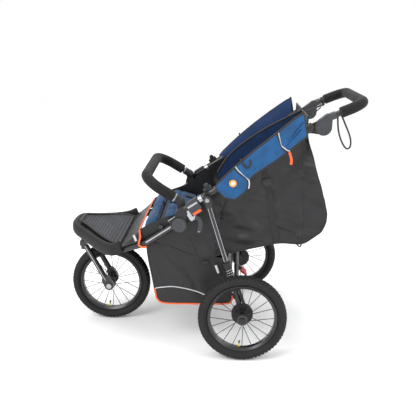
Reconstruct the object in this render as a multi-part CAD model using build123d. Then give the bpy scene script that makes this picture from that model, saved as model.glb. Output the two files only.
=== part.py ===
from build123d import *
import math
import os

# Side-by-side double stroller on three air-tyred wheels.  All lengths in mm.
# +X is the children's left, -Y is the front, +Z is up.  Z = 0 is the ground and
# Y = 0 is halfway between the front of the front tyre and the back of the handle grip.

# ---- Wheels ----
WHEEL_R = 155.0            # outside radius of a 12 1/2 inch tyre
TYRE_W = 46.0
RIM_INNER_R = 111.0
RIM_SEAT_R = 121.0         # where the tyre beads sit
RIM_W = 28.0
TYRE_WALL = 4.0
HUB_R = 13.0
FLANGE_R = 21.0
SPOKE_R = 1.15
SPOKES = 20
AXLE_R = 6.0
RUN = 0.08                 # radial clearance of every turning or sliding fit
REAR_TRACK = 660.0
REAR_AXLE_Y = 125.0
FRONT_HUB_W = 72.0
REAR_HUB_W = 50.0

# ---- Main frame, drawn in the side plane from the fold pivot ----
FOLD_Y, FOLD_Z = -95.0, 472.0
FRAME_ANGLE = 33.0         # both main tubes rise rearwards at this angle
UPPER_OFFSET = 36.0        # upper tube's axis above the front tube's axis
TUBE_R = 12.0
TUBE_WALL = 2.0
FRONT_TUBE_X = 236.0
UPPER_TUBE_X = 263.0
PLANE_GAP = 1.0            # side clearance between layers that pass each other
FRONT_TUBE_LOW_U = -150.0  # where the front tube turns into the footwell
TAPER_U = 350.0            # where the upper tubes start to close towards the handle
UPPER_END_U = 556.0
HANDLE_X = 211.5
CAP_T = 6.0
CAP_R = 25.0
PIN_R = 6.0

# ---- Footwell and steering ----
FOOT_REAR = (199.0, -343.0, 346.0)   # frame bend beside the footwell's rear corner
NOSE = (58.0, -505.0, 374.0)         # frame bend at the nose
FRAME_BEND_R = 55.0
STEER_Y = -485.0
HEAD_R = 19.0
HEAD_Z = (340.0, 386.0)
SPINDLE_R = 8.0
CROWN_T = 18.0
CROWN_GAP = 3.0
FORK_X = 50.0
FORK_R = 10.5
FRONT_TRAIL = 94.0         # front axle behind the steering axis
FOOT_SLOPE = 15.5          # the footwell floor rises forwards
BAND_H = 26.0
BAND_T = 22.0
FLOOR_T = 5.0
MAT_T = 2.5

# ---- Rear legs ----
LEG_X = 292.0
LEG_R = 9.0
LEG_PIVOT_U, LEG_PIVOT_V = 133.0, 27.0
LEG_EYE_R = 14.0
LEG_PIN_R = 5.0
CAP_D = 232.0              # spring cap, measured down the leg from its pivot
CAP_L = 20.0
SPRING_WIRE_R = 1.7
SPRING_R = 11.2
SPRING_TURNS = 7.0
CROSS_D = 362.0            # rear cross tube, down the leg
CROSS_R = 9.0
LEG_END = 398.0
SUSPENSION_TRAVEL = 18.0
DRUM_R = 38.0

# ---- Lower stays ----
STAY_Y, STAY_Z = -207.0, 360.0
STAY_X0, STAY_X1 = 214.5, 218.5
STAY_W = 16.0
STAY_END_D = 412.0

# ---- Seats ----
SEAT_HALF_W = 210.0
SEAT_GAP = 6.0             # half the gap between the two children's pads
SEAT_FRONT = (-172.0, 462.0)
SEAT_REAR = (30.0, 402.0)
DECK_T = 4.0
PAD_T = 28.0
BACK_FOOT = (44.0, 401.0)  # lower front corner of the backrest
BACK_PIVOT = (42.0, 434.0) # recline hinge, in the seam at the top of the seat pad
BACK_L = 335.0
BACK_T = 32.0
BACK_ANGLE = 10.3

# ---- Side fabric ----
SIDE_X = 219.5
FABRIC_T = 2.5
WING_GAP = 1.5
WING_T = 3.5

# ---- Basket ----
BASKET_HALF_W = 212.0
BASKET_WALL = 3.0

# ---- Bumper bar ----
BUMPER_X = 229.0
BUMPER_R = 10.0
SLEEVE_R = 19.0
BUMPER_MOUNT = (-93.0, 545.0)
BUMPER_REACH = 148.0
BUMPER_ANGLE = 31.5
BUMPER_BEND_R = 78.0
SOCKET_R = 15.0
SOCKET_L = 34.0
SOCKET_CLEAR = 0.3
SLEEVE_GAP = 8.0

# ---- Handle ----
HANDLE_DISC_U, HANDLE_DISC_V = 588.0, 14.0
DISC_R = 28.0
DISC_OUTER = 12.5          # half thickness of the whole joint
TONGUE_HALF = 5.5
HANDLE_ANGLE = 22.0
HANDLE_START = (412.0, 838.0)
HANDLE_TUBE_R = 10.5
GRIP_R = 18.5
HANDLE_BEND_R = 58.0
GRIP_START = 42.0

# ---- Fold locks ----
LOCK_U0, LOCK_U1 = 56.0, 100.0
LOCK_LOW_V = 0.0
LOCK_INSET = 1.0           # the tube shows this far through the housing's inner face
SLIDER_L, SLIDER_H = 32.0, 9.0
SLIDER_TRAVEL = 8.0

REAR_WHEEL_X = REAR_TRACK / 2
FRONT_AXLE_Y = STEER_Y + FRONT_TRAIL
SIDES = {"left": 1, "right": -1}
SIN, COS = math.sin(math.radians(FRAME_ANGLE)), math.cos(math.radians(FRAME_ANGLE))


def on_frame(u, v):
    """(y, z) of a point u along and v above the front tube's axis, from the fold pivot."""
    return (FOLD_Y + u * COS - v * SIN, FOLD_Z + u * SIN + v * COS)


LEG_PIVOT = on_frame(LEG_PIVOT_U, LEG_PIVOT_V)
LEG_LEN = math.hypot(REAR_AXLE_Y - LEG_PIVOT[0], WHEEL_R - LEG_PIVOT[1])
LEG_DIR = ((REAR_AXLE_Y - LEG_PIVOT[0]) / LEG_LEN, (WHEEL_R - LEG_PIVOT[1]) / LEG_LEN)
HANDLE_DISC = on_frame(HANDLE_DISC_U, HANDLE_DISC_V)
CROWN_TOP = HEAD_Z[0] - CROWN_GAP
HANDLE_DIR = (math.cos(math.radians(HANDLE_ANGLE)), math.sin(math.radians(HANDLE_ANGLE)))
# The grip's back is as far behind the origin as the front tyre's tread is in front of it.
HANDLE_REACH = (WHEEL_R - FRONT_AXLE_Y - GRIP_R - HANDLE_START[0]) / HANDLE_DIR[0]
CAP_X = UPPER_TUBE_X + TUBE_R + PLANE_GAP      # inner face of the hinge caps


def on_leg(d):
    """(y, z) of a point d below the leg's pivot on its axis."""
    return (LEG_PIVOT[0] + d * LEG_DIR[0], LEG_PIVOT[1] + d * LEG_DIR[1])


# ---------------------------------------------------------------- helpers

def plate(points, x0, x1):
    """Flat plate with a (y, z) outline, from x0 to x1."""
    face = make_face(Polyline([(0, y, z) for y, z in points], close=True))
    return Pos(x0, 0, 0) * extrude(face, amount=x1 - x0, dir=(1, 0, 0))


def rod(start, end, radius):
    """Round bar between two points."""
    a, b = Vector(*start), Vector(*end)
    return Plane(origin=a, z_dir=b - a) * Cylinder(
        radius, (b - a).length, align=(Align.CENTER, Align.CENTER, Align.MIN))


def cross_rod(y, z, radius, x0, x1):
    """Round bar along X."""
    return rod((x0, y, z), (x1, y, z), radius)


def slot_plate(a, b, ra, rb, x0, x1):
    """Plate that wraps two circles at (y, z) points a and b, as a link or bracket does."""
    gap = math.hypot(b[0] - a[0], b[1] - a[1])
    along = math.atan2(b[1] - a[1], b[0] - a[0])
    lean = math.acos((ra - rb) / gap)
    outline = []
    for centre, radius, sign in ((a, ra, 1), (b, rb, 1), (b, rb, -1), (a, ra, -1)):
        angle = along + sign * lean
        outline.append((centre[0] + radius * math.cos(angle), centre[1] + radius * math.sin(angle)))
    body = plate(outline, x0, x1)
    body += cross_rod(a[0], a[1], ra, x0, x1)
    body += cross_rod(b[0], b[1], rb, x0, x1)
    return body


def frame_box(u0, u1, v0, v1, x0, x1):
    """Block lined up with the main tubes."""
    corners = [on_frame(u0, v0), on_frame(u1, v0), on_frame(u1, v1), on_frame(u0, v1)]
    return plate(corners, x0, x1)


def tube_along(points, bends, radius, wall=0.0):
    """Tube swept along straight runs with tangent bends."""
    path = FilletPolyline(*points, radius=bends)
    section = Plane(origin=path @ 0, z_dir=path % 0) * Circle(radius)
    if wall:
        section -= Plane(origin=path @ 0, z_dir=path % 0) * Circle(radius - wall)
    return sweep(section, path=path)


def both(shape):
    """The shape and its mirror image on the other side."""
    return Compound(children=[shape, mirror(shape, about=Plane.YZ)])


def both_as_one(shape):
    """One solid from a shape that meets its mirror image at x = 0."""
    return shape + mirror(shape, about=Plane.YZ)


# ---------------------------------------------------------------- wheels

def at_wheel(shape, centre):
    """Move a wheel piece from the origin to its hub."""
    return Pos(*centre) * shape


def ring(profile):
    """Turn an (x, radius) outline about the wheel's axle."""
    face = make_face(Polyline([(x, r, 0) for x, r in profile], close=True))
    return revolve(face, axis=Axis.X)


def make_tyre():
    """Hollow tyre, open inwards between its beads."""
    half = TYRE_W / 2
    height = WHEEL_R - RIM_SEAT_R
    outline = [(0.36, 0.0), (0.50, 0.06), (0.94, 0.34), (1.0, 0.52), (0.92, 0.72), (0.66, 0.90),
               (0.30, 0.985)]
    outside = [(half * a, RIM_SEAT_R + height * b) for a, b in outline]
    outside += [(0.0, WHEEL_R)]
    outside += [(-x, r) for x, r in reversed(outside[:-1])]
    mid_r = RIM_SEAT_R + height * 0.48
    scale_x = (half - TYRE_WALL) / half
    scale_r = (height - 2 * TYRE_WALL) / height
    inside = [(x * scale_x, mid_r + (r - mid_r) * scale_r) for x, r in outside]
    mouth = [(inside[0][0], RIM_SEAT_R), (inside[-1][0], RIM_SEAT_R)]
    loop = outside + [mouth[1]] + list(reversed(inside)) + [mouth[0]]
    return ring(loop)


def make_rim():
    """Box-section rim with a well between two flanges."""
    half = RIM_W / 2
    well = 3.0
    bead = 0.36 * TYRE_W / 2 - 0.6
    return ring([(-half, RIM_SEAT_R - 3), (-half, RIM_SEAT_R - 0.2), (-bead, RIM_SEAT_R - 0.2),
                 (-bead + 1.5, RIM_SEAT_R - well), (bead - 1.5, RIM_SEAT_R - well),
                 (bead, RIM_SEAT_R - 0.2), (half, RIM_SEAT_R - 0.2), (half, RIM_SEAT_R - 3),
                 (half - 5, RIM_INNER_R), (-half + 5, RIM_INNER_R)])


def make_hub(width, bore):
    """Hub shell with two spoke flanges and a through bore."""
    half = width / 2
    flange = 3.0
    inset = 6.0
    return ring([(-half, bore), (-half, HUB_R), (-half + inset, HUB_R), (-half + inset, FLANGE_R),
                 (-half + inset + flange, FLANGE_R), (-half + inset + flange, HUB_R),
                 (half - inset - flange, HUB_R), (half - inset - flange, FLANGE_R),
                 (half - inset, FLANGE_R), (half - inset, HUB_R), (half, HUB_R), (half, bore)])


def make_spokes(width):
    """Straight-pull spokes from alternate flanges to the rim, laced a little off radial."""
    flange_x = width / 2 - 7.5
    lace = math.radians(14)
    spokes = []
    for i in range(SPOKES):
        turn = 2 * math.pi * i / SPOKES
        lean = lace if i % 4 < 2 else -lace
        side = 1 if i % 2 else -1
        seat = FLANGE_R - 2.5
        inner = (side * flange_x, seat * math.sin(turn + lean), seat * math.cos(turn + lean))
        outer = (side * 1.5, (RIM_INNER_R + 1.5) * math.sin(turn), (RIM_INNER_R + 1.5) * math.cos(turn))
        spokes.append(rod(inner, outer, SPOKE_R))
    return Compound(children=spokes)


def wheel_nodes(name, centre, hub_width):
    """The four nodes of one wheel."""
    return {
        f"{name}_tyre": at_wheel(make_tyre(), centre),
        f"{name}_rim": at_wheel(make_rim(), centre),
        f"{name}_spokes": at_wheel(make_spokes(hub_width), centre),
        f"{name}_hub": at_wheel(make_hub(hub_width, AXLE_R + RUN), centre),
    }


# ---------------------------------------------------------------- front frame

def front_tube_path():
    """Corner points of the front frame, left end first."""
    y0, z0 = on_frame(-32.0, 0.0)
    y1, z1 = on_frame(FRONT_TUBE_LOW_U, 0.0)
    half = [(FRONT_TUBE_X, y0, z0), (FRONT_TUBE_X, y1, z1), FOOT_REAR, NOSE]
    return half + [(-x, y, z) for x, y, z in reversed(half)]


def make_front_tube():
    """Bow-shaped front frame tube."""
    return tube_along(front_tube_path(), FRAME_BEND_R, TUBE_R, TUBE_WALL)


def front_tube_solid():
    """The tube without its bore, for coping other pieces round it."""
    return tube_along(front_tube_path(), FRAME_BEND_R, TUBE_R)


def make_steering_head():
    """Bearing head under the nose, coped to the frame's nose tube."""
    low, high = HEAD_Z
    head = rod((0, STEER_Y, low), (0, STEER_Y, high), HEAD_R)
    head += Pos(0, (STEER_Y + NOSE[1]) / 2, NOSE[2]) * Box(44, abs(NOSE[1] - STEER_Y) + 20, 20)
    head -= front_tube_solid()
    head -= rod((0, STEER_Y, low - 1), (0, STEER_Y, high - 4), SPINDLE_R + RUN)
    return head.solids().sort_by(SortBy.VOLUME)[-1]


def make_hinge_housing():
    """Left fold housing: plate round the pivot, end flange and arm to the bumper socket."""
    x0, x1 = FRONT_TUBE_X - TUBE_R, UPPER_TUBE_X - TUBE_R - PLANE_GAP
    body = frame_box(-32, 40, -10, 27, x0, x1)
    body += cross_rod(FOLD_Y, FOLD_Z, CAP_R + 1, x0, x1)
    body += frame_box(36, 40, -12, 44, x0, x1)
    body += slot_plate(on_frame(20, 14), BUMPER_MOUNT, 14, 12, BUMPER_X - 9, x1)
    body -= bumper_socket_space()
    body -= cross_rod(FOLD_Y, FOLD_Z, PIN_R, x0 - 1, x1 + 1)
    return body.solids().sort_by(SortBy.VOLUME)[-1]


def make_hinge_pin():
    """Left fold pin, from the housing's inner face to the cap."""
    return cross_rod(FOLD_Y, FOLD_Z, PIN_R, FRONT_TUBE_X - TUBE_R, CAP_X)


def make_hinge_cap():
    """Round cap over the left fold pivot."""
    cap = cross_rod(FOLD_Y, FOLD_Z, CAP_R, CAP_X, CAP_X + CAP_T)
    return chamfer(cap.edges().filter_by(GeomType.CIRCLE).sort_by(Axis.X)[-1], 1.5)


def bumper_line(distance):
    """(y, z) along the bumper arm, forwards from its mount."""
    angle = math.radians(180 - BUMPER_ANGLE)
    return (BUMPER_MOUNT[0] + distance * math.cos(angle), BUMPER_MOUNT[1] + distance * math.sin(angle))


def bumper_socket_space():
    """Everything the left bumper socket fills."""
    a, b = bumper_line(-12), bumper_line(SOCKET_L - 12)
    return rod((BUMPER_X, *a), (BUMPER_X, *b), SOCKET_R)


def make_bumper_socket():
    """Left socket, closed at its lower end."""
    a, b = bumper_line(-8), bumper_line(SOCKET_L - 11)
    return bumper_socket_space() - rod((BUMPER_X, *a), (BUMPER_X, *b), BUMPER_R + SOCKET_CLEAR)


def seat_line(t, lift):
    """(y, z) on the seat, t from front to rear, lifted square to the deck."""
    dy, dz = SEAT_REAR[0] - SEAT_FRONT[0], SEAT_REAR[1] - SEAT_FRONT[1]
    size = math.hypot(dy, dz)
    return (SEAT_FRONT[0] + t * dy - lift * dz / size, SEAT_FRONT[1] + t * dz + lift * dy / size)


def make_seat_frame():
    """Two rails under the deck and two cross tubes; the front one is coped to the frame."""
    rails = None
    for side in SIDES.values():
        a, b = seat_line(0.02, -11), seat_line(0.99, -11)
        c, d = seat_line(0.99, 0), seat_line(0.02, 0)
        rail = plate([a, b, c, d], side * 192 - 6, side * 192 + 6)
        rails = rail if rails is None else rails + rail
    front = seat_line(0.05, -9)
    rear = seat_line(0.95, -9)
    rails += cross_rod(front[0], front[1], 8, -232, 232)
    rails += cross_rod(rear[0], rear[1], 7, -192, 192)
    rails -= front_tube_solid()
    for side in SIDES.values():
        y, z = on_frame(-14, 8)
        rails -= Pos(side * (FRONT_TUBE_X + 1), y, z) * Box(26, 60, 80)
    body = rails.solids().sort_by(SortBy.VOLUME)[-1]
    for side in SIDES.values():
        x0, x1 = sorted((side * 198.5, side * (STAY_X0 - 1)))
        lug = slot_plate(front, (STAY_Y, STAY_Z), 9, 10, x0, x1)
        body += lug
        body += cross_rod(STAY_Y, STAY_Z, 5, *sorted((side * (STAY_X0 - 2), side * STAY_X1)))
    return body


def make_seat_deck():
    """Board that both seats rest on."""
    corners = [seat_line(0, 0), seat_line(1, 0), seat_line(1, DECK_T), seat_line(0, DECK_T)]
    return plate(corners, -SEAT_HALF_W, SEAT_HALF_W)


def make_seat_pad():
    """Left child's seat pad."""
    low = DECK_T + 0.3
    corners = [seat_line(0.0, low), seat_line(1.0, low), seat_line(1.0, low + PAD_T),
               seat_line(0.0, low + PAD_T)]
    return plate(corners, SEAT_GAP, SEAT_HALF_W)


def make_calf_panel():
    """Padded panel that hangs from the seat's front edge, in front of the calves."""
    top = (SEAT_FRONT[0] - 1.5, SEAT_FRONT[1] + DECK_T + PAD_T - 2)
    low = (-232.0, 432.0)
    corners = [top, low, (low[0] + 5, low[1] - 6), (SEAT_FRONT[0] - 1.5, SEAT_FRONT[1] - 2)]
    return plate(corners, -SEAT_HALF_W, SEAT_HALF_W)


def foot_point(x, along, lift):
    """Point over the footwell floor: along forwards from its rear edge, lift square to it."""
    c, s = math.cos(math.radians(FOOT_SLOPE)), math.sin(math.radians(FOOT_SLOPE))
    return (x, -325.0 - along * c + lift * s, 352.0 + along * s + lift * c)


FOOT_PLANE = Plane(origin=foot_point(0, 0, 0), x_dir=(1, 0, 0),
                   z_dir=(0, math.sin(math.radians(FOOT_SLOPE)), math.cos(math.radians(FOOT_SLOPE))))
FOOT_HALF_REAR = 218.0
FOOT_HALF_NOSE = 84.0
FOOT_LEN = 208.0


def foot_outline(inset):
    """Tapered footwell outline in its own plane, drawn in by the inset."""
    pts = [(FOOT_HALF_REAR - inset, 12.0), (FOOT_HALF_REAR - 6 - inset, -30.0),
           (FOOT_HALF_NOSE - inset, -FOOT_LEN + inset), (-FOOT_HALF_NOSE + inset, -FOOT_LEN + inset),
           (-FOOT_HALF_REAR + 6 + inset, -30.0), (-FOOT_HALF_REAR + inset, 12.0)]
    return make_face(Polyline(*pts, close=True))


def make_footwell_shell():
    """Sprung floor with a padded rim band, and the apron that rises to the seat's front."""
    floor = extrude(FOOT_PLANE * foot_outline(0), amount=FLOOR_T)
    band = extrude(FOOT_PLANE * foot_outline(0), amount=BAND_H)
    band -= extrude(FOOT_PLANE * foot_outline(BAND_T), amount=BAND_H + 1)
    floor += band
    foot = foot_point(0, -8, 0)
    apron_top = (-243.0, 408.0)
    apron = plate([(foot[1], foot[2]), (apron_top[0], apron_top[1]), (apron_top[0] - 3, apron_top[1] + 4),
                   (foot[1] - 12, foot[2] + 4)], -214, 214)
    body = floor + apron
    body -= tube_along(front_tube_path(), FRAME_BEND_R, TUBE_R + 0.4)
    body -= rod((0, STEER_Y, HEAD_Z[0] - 5), (0, STEER_Y, HEAD_Z[1] + 0.5), HEAD_R + 0.5)
    body -= Pos(0, (STEER_Y + NOSE[1]) / 2, NOSE[2]) * Box(46, abs(NOSE[1] - STEER_Y) + 22, 22)
    return body.solids().sort_by(SortBy.VOLUME)[-1]


def make_footwell_mat():
    """Ribbed foot mat that lies on the floor inside the band."""
    plane = FOOT_PLANE.offset(FLOOR_T + 0.3)
    pts = [(FOOT_HALF_REAR - BAND_T - 8, -8.0), (FOOT_HALF_NOSE - BAND_T - 6, -FOOT_LEN + BAND_T + 8),
           (-FOOT_HALF_NOSE + BAND_T + 6, -FOOT_LEN + BAND_T + 8), (-FOOT_HALF_REAR + BAND_T + 8, -8.0)]
    mat = extrude(plane * make_face(Polyline(*pts, close=True)), amount=MAT_T)
    mat -= rod((0, STEER_Y, HEAD_Z[0] - 5), (0, STEER_Y, HEAD_Z[1] + 0.5), HEAD_R + 1)
    mat -= tube_along(front_tube_path(), FRAME_BEND_R, TUBE_R + 0.4)
    return mat.solids().sort_by(SortBy.VOLUME)[-1]


SPLIT_LOW = (-31.0, 334.0)     # foot of the line where the front side fabric meets the rear
SPLIT_HIGH = (-72.0, 424.0)


def make_side_panel():
    """Left fabric panel under the front tube, beside the seat base."""
    top = on_frame(-8, -32)
    outline = [on_frame(-108, -30), (-150, 372), (-90, 348), (SPLIT_LOW[0] - 2, SPLIT_LOW[1]),
               (SPLIT_HIGH[0] - 2, SPLIT_HIGH[1]), top]
    return plate(outline, SIDE_X, SIDE_X + FABRIC_T)


BASKET_SIDE = [(-219.0, 380.0), (-186.0, 176.0), (-150.0, 160.0), (80.0, 160.0), (88.0, 190.0), (70.0, 318.0)]


def make_basket():
    """Open-topped shopping basket of cloth under the seats."""
    outer = plate(BASKET_SIDE, -BASKET_HALF_W, BASKET_HALF_W)
    w = BASKET_WALL
    inner_side = [(-219.0 + 1.1 * w, 384.0), (-186.0 + w, 176.0 + w), (-150.0 + w / 2, 160.0 + w),
                  (80.0 - w, 160.0 + w),
                  (88.0 - 1.1 * w, 190.0), (70.0 - w, 322.0)]
    body = outer - plate(inner_side, -BASKET_HALF_W + w, BASKET_HALF_W - w)
    lug_clear = 0.6
    for side in SIDES.values():
        x0, x1 = sorted((side * (198.5 - lug_clear), side * (BASKET_HALF_W + 1)))
        a = seat_line(0.05, -9)
        body -= slot_plate(a, (STAY_Y, STAY_Z), 9 + lug_clear, 10 + lug_clear, x0, x1)
    return body.solids().sort_by(SortBy.VOLUME)[-1]


# ---------------------------------------------------------------- fork

def make_fork_crown():
    """Crown bridge with the steering spindle."""
    crown = rod((0, STEER_Y, CROWN_TOP - CROWN_T), (0, STEER_Y, CROWN_TOP), HEAD_R)
    crown += Pos(0, STEER_Y, CROWN_TOP - CROWN_T / 2) * Box(2 * FORK_X + 20, 26, CROWN_T)
    crown = fillet(crown.edges().filter_by(Axis.Z), 3)
    crown += rod((0, STEER_Y, CROWN_TOP), (0, STEER_Y, HEAD_Z[1] - 6), SPINDLE_R)
    return crown


def make_fork_leg():
    """Left blade and its axle lug."""
    top = (FORK_X, STEER_Y + 7, CROWN_TOP - CROWN_T)
    axle = (FORK_X, FRONT_AXLE_Y, WHEEL_R)
    leg = rod(top, axle, FORK_R)
    leg += rod((FORK_X, STEER_Y, CROWN_TOP - CROWN_T - 14), (FORK_X, STEER_Y, CROWN_TOP - CROWN_T), FORK_R)
    run_y, run_z = axle[1] - top[1], axle[2] - top[2]
    size = math.hypot(run_y, run_z)
    uy, uz = run_y / size, run_z / size
    lug = slot_plate((axle[1] - 26 * uy, axle[2] - 26 * uz), (axle[1], axle[2]), 16, 18,
                     FORK_X - 10, FORK_X + 10)
    leg += lug
    leg -= Pos(FORK_X, STEER_Y, CROWN_TOP - CROWN_T + 30) * Box(60, 80, 60)
    leg -= cross_rod(FRONT_AXLE_Y, WHEEL_R, AXLE_R, FORK_X - 20, FORK_X + 20)
    return leg


def make_front_axle():
    """Quick-release axle with an end cap each side."""
    reach = FORK_X + 11
    axle = cross_rod(FRONT_AXLE_Y, WHEEL_R, AXLE_R, -reach, reach)
    for side in SIDES.values():
        axle += cross_rod(FRONT_AXLE_Y, WHEEL_R, 10, *sorted((side * reach, side * (reach + 5))))
    return axle


# ---------------------------------------------------------------- upper frame

def taper_x(u):
    """Distance of the upper tube from the middle plane, u along it."""
    share = min(max((u - TAPER_U) / (UPPER_END_U - TAPER_U), 0), 1)
    return UPPER_TUBE_X + share * (HANDLE_X - UPPER_TUBE_X)


def upper_path():
    """Left upper tube's corner points, front end first."""
    points = []
    for u in (LOCK_U0 - 12, TAPER_U, UPPER_END_U):
        points.append((taper_x(u), *on_frame(u, UPPER_OFFSET)))
    return points


def make_upper_tube():
    """Left upper tube."""
    return tube_along(upper_path(), 200, TUBE_R, TUBE_WALL)


def upper_tube_solid():
    """Left upper tube without its bore."""
    return tube_along(upper_path(), 200, TUBE_R)


def make_tube_bracket():
    """Left bracket that carries the upper tube's front end on the fold pin."""
    x0, x1 = UPPER_TUBE_X - TUBE_R, UPPER_TUBE_X + TUBE_R
    end = on_frame(LOCK_U0 - 12, UPPER_OFFSET)
    body = slot_plate((FOLD_Y, FOLD_Z), on_frame(24, 26), 20, 20, x0, x1)
    body += slot_plate(on_frame(24, 26), end, 20, TUBE_R + 2, x0, x1)
    body -= upper_tube_solid()
    body -= frame_box(LOCK_U0 - 12, LOCK_U0 + 60, -60, 90, x0 - 1, x1 + 1)
    body -= cross_rod(FOLD_Y, FOLD_Z, PIN_R + RUN, x0 - 1, x1 + 1)
    return body.solids().sort_by(SortBy.VOLUME)[-1]


def slider_place(shift=0.0):
    """Outline of the left fold-lock slider, moved back by shift."""
    u0 = LOCK_U0 + 6 + shift
    return (u0, u0 + SLIDER_L, 2.0, 2.0 + SLIDER_H)


def make_lock_housing():
    """Left fold-lock body round the upper tube, with a track for its slider."""
    x0 = UPPER_TUBE_X - TUBE_R + LOCK_INSET
    x1 = UPPER_TUBE_X + TUBE_R + 4
    body = frame_box(LOCK_U0, LOCK_U1, LOCK_LOW_V, UPPER_OFFSET + TUBE_R + 3, x0, x1)
    body = fillet(body.edges().filter_by(Axis.X), 3)
    body -= upper_tube_solid()
    u0, u1, v0, v1 = slider_place()
    track = frame_box(u0 - 0.5, u1 + SLIDER_TRAVEL + 0.5, v0 - 0.5, v1 + 0.5, x1 - 10, x1 + 1)
    return (body - track).solids().sort_by(SortBy.VOLUME)[-1]


def make_fold_lock(side):
    """Orange slider on one side."""
    u0, u1, v0, v1 = slider_place()
    x1 = UPPER_TUBE_X + TUBE_R + 4
    body = frame_box(u0, u1, v0, v1, x1 - 9, x1 + 1.5)
    return body if side > 0 else mirror(body, about=Plane.YZ)


def make_leg_bracket():
    """Left plate and pin that the rear leg turns on."""
    x0 = UPPER_TUBE_X + TUBE_R
    x1 = LEG_X - LEG_R - PLANE_GAP
    seat = on_frame(LEG_PIVOT_U + 6, UPPER_OFFSET)
    body = slot_plate(LEG_PIVOT, seat, LEG_EYE_R, LEG_EYE_R - 2, x0 - 6, x1)
    body -= upper_tube_solid()
    body = body.solids().sort_by(SortBy.VOLUME)[-1]
    body += cross_rod(*LEG_PIVOT, LEG_PIN_R, x1, LEG_X + LEG_R)
    return body


def make_handle_knuckle():
    """Left tongue from the upper tube's end to the handle's height joint."""
    x0, x1 = HANDLE_X - TONGUE_HALF, HANDLE_X + TONGUE_HALF
    end = on_frame(UPPER_END_U - 12, UPPER_OFFSET - 2)
    body = slot_plate(end, HANDLE_DISC, 13, DISC_R - 2, x0, x1)
    sleeve_start = upper_tube_point(UPPER_END_U - 46)
    sleeve_end = upper_tube_point(UPPER_END_U + 3)
    body += rod(sleeve_start, sleeve_end, TUBE_R + 2.5)
    body -= upper_tube_solid()
    disc_space = DISC_R + 1
    for edge in (-1, 1):
        cheek = sorted((HANDLE_X + edge * TONGUE_HALF, HANDLE_X + edge * (DISC_OUTER + 6)))
        body -= cross_rod(*HANDLE_DISC, disc_space, *cheek)
    body -= cross_rod(*HANDLE_DISC, PIN_R + RUN, x0 - 1, x1 + 1)
    return body.solids().sort_by(SortBy.VOLUME)[-1]


def upper_tube_point(u):
    """Point on the left upper tube's straight rear run."""
    share = (u - TAPER_U) / (UPPER_END_U - TAPER_U)
    x = UPPER_TUBE_X + share * (HANDLE_X - UPPER_TUBE_X)
    return (x, *on_frame(u, UPPER_OFFSET))


WING_SPLIT_Y = 205.0
WING_FRONT = [(30, 612), (44, 588), (86, 566), (118, 590), (146, 634), (WING_SPLIT_Y, 682),
              (WING_SPLIT_Y, 768),
              (150, 727), (97, 676), (58, 636)]
WING_REAR = [(WING_SPLIT_Y - 2, 681), (270, 724), (330, 772), (322, 846), (300, 840), (WING_SPLIT_Y - 2, 767)]


def make_wing():
    """Left fabric wing outside the upper tube, bent inwards where the tube closes in."""
    x0 = UPPER_TUBE_X + TUBE_R + WING_GAP
    front = plate(WING_FRONT, x0, x0 + WING_T)
    front -= slot_plate(LEG_PIVOT, on_frame(LEG_PIVOT_U + 6, UPPER_OFFSET), LEG_EYE_R + 0.5, LEG_EYE_R,
                        x0 - 2, x0 + 8)
    lean = math.atan2(UPPER_TUBE_X - HANDLE_X, (UPPER_END_U - TAPER_U) * COS)
    rear = plate([(y - WING_SPLIT_Y, z) for y, z in WING_REAR], 0, WING_T)
    rear = Pos(x0, WING_SPLIT_Y, 0) * (Rot(0, 0, math.degrees(lean)) * rear)
    return front + rear


def make_gusset():
    """Left fabric side of the seat, from the upper tube to the lower hem."""
    outline = [(SPLIT_HIGH[0] + 1, SPLIT_HIGH[1]), (SPLIT_LOW[0] + 1, SPLIT_LOW[1] + 1), (60, 356),
               (190, 384), (327, 392),
               (416, 488), (404, 556), (338, 768), (-12, 540), (-48, 500)]
    return plate(outline, SIDE_X, SIDE_X + FABRIC_T)


def make_rear_drop():
    """Fabric that hangs behind the backrests, from between the handles to its lower hem."""
    half = SIDE_X - 0.5
    outline = [(340, 768), (407, 556), (419, 488), (331, 392), (328, 395), (415, 489), (403, 555), (336, 766)]
    return plate(outline, -half, half)


def make_seat_divider():
    """Fabric wall between the two seats, hung from the rear."""
    outline = [(30, 600), (112, 700), (314, 830), (334, 832), (328, 775), (390, 560), (382, 520),
               (220, 492), (90, 470),
               (46, 470)]
    return plate(outline, -3, 3)


# ---------------------------------------------------------------- handle

def handle_point(distance, x=HANDLE_X):
    """Point along the left handle arm."""
    return (x, HANDLE_START[0] + distance * HANDLE_DIR[0], HANDLE_START[1] + distance * HANDLE_DIR[1])


def handle_path(start):
    """U-shaped path of the handle from one arm to the other."""
    left = [handle_point(start), handle_point(HANDLE_REACH)]
    return left + [(-x, y, z) for x, y, z in reversed(left)]


def make_handle_tube():
    """U-shaped handle tube."""
    return tube_along(handle_path(0), HANDLE_BEND_R, HANDLE_TUBE_R, TUBE_WALL)


def make_handle_grip():
    """Foam grip over the handle's cross bar and both corners."""
    return tube_along(handle_path(GRIP_START), HANDLE_BEND_R, GRIP_R, GRIP_R - HANDLE_TUBE_R)


def make_handle_disc():
    """Left height-joint clevis: two round cheeks, their pin and the socket of the handle tube."""
    socket = rod(handle_point(-14), handle_point(20), HANDLE_TUBE_R + 2.5)
    start = handle_point(-6)
    body = slot_plate(HANDLE_DISC, (start[1], start[2]), DISC_R, 13,
                      HANDLE_X - DISC_OUTER, HANDLE_X + DISC_OUTER)
    gap_half = TONGUE_HALF + 0.4
    gap = cross_rod(*HANDLE_DISC, DISC_R + 1, HANDLE_X - gap_half, HANDLE_X + gap_half)
    body -= gap
    body += socket - gap
    body -= rod(handle_point(0), handle_point(30), HANDLE_TUBE_R)
    body += cross_rod(*HANDLE_DISC, PIN_R, HANDLE_X - DISC_OUTER, HANDLE_X + DISC_OUTER)
    return body


LEVER_PIVOT = (-(HANDLE_X - 34.0), *handle_point(34.0)[1:])


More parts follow.
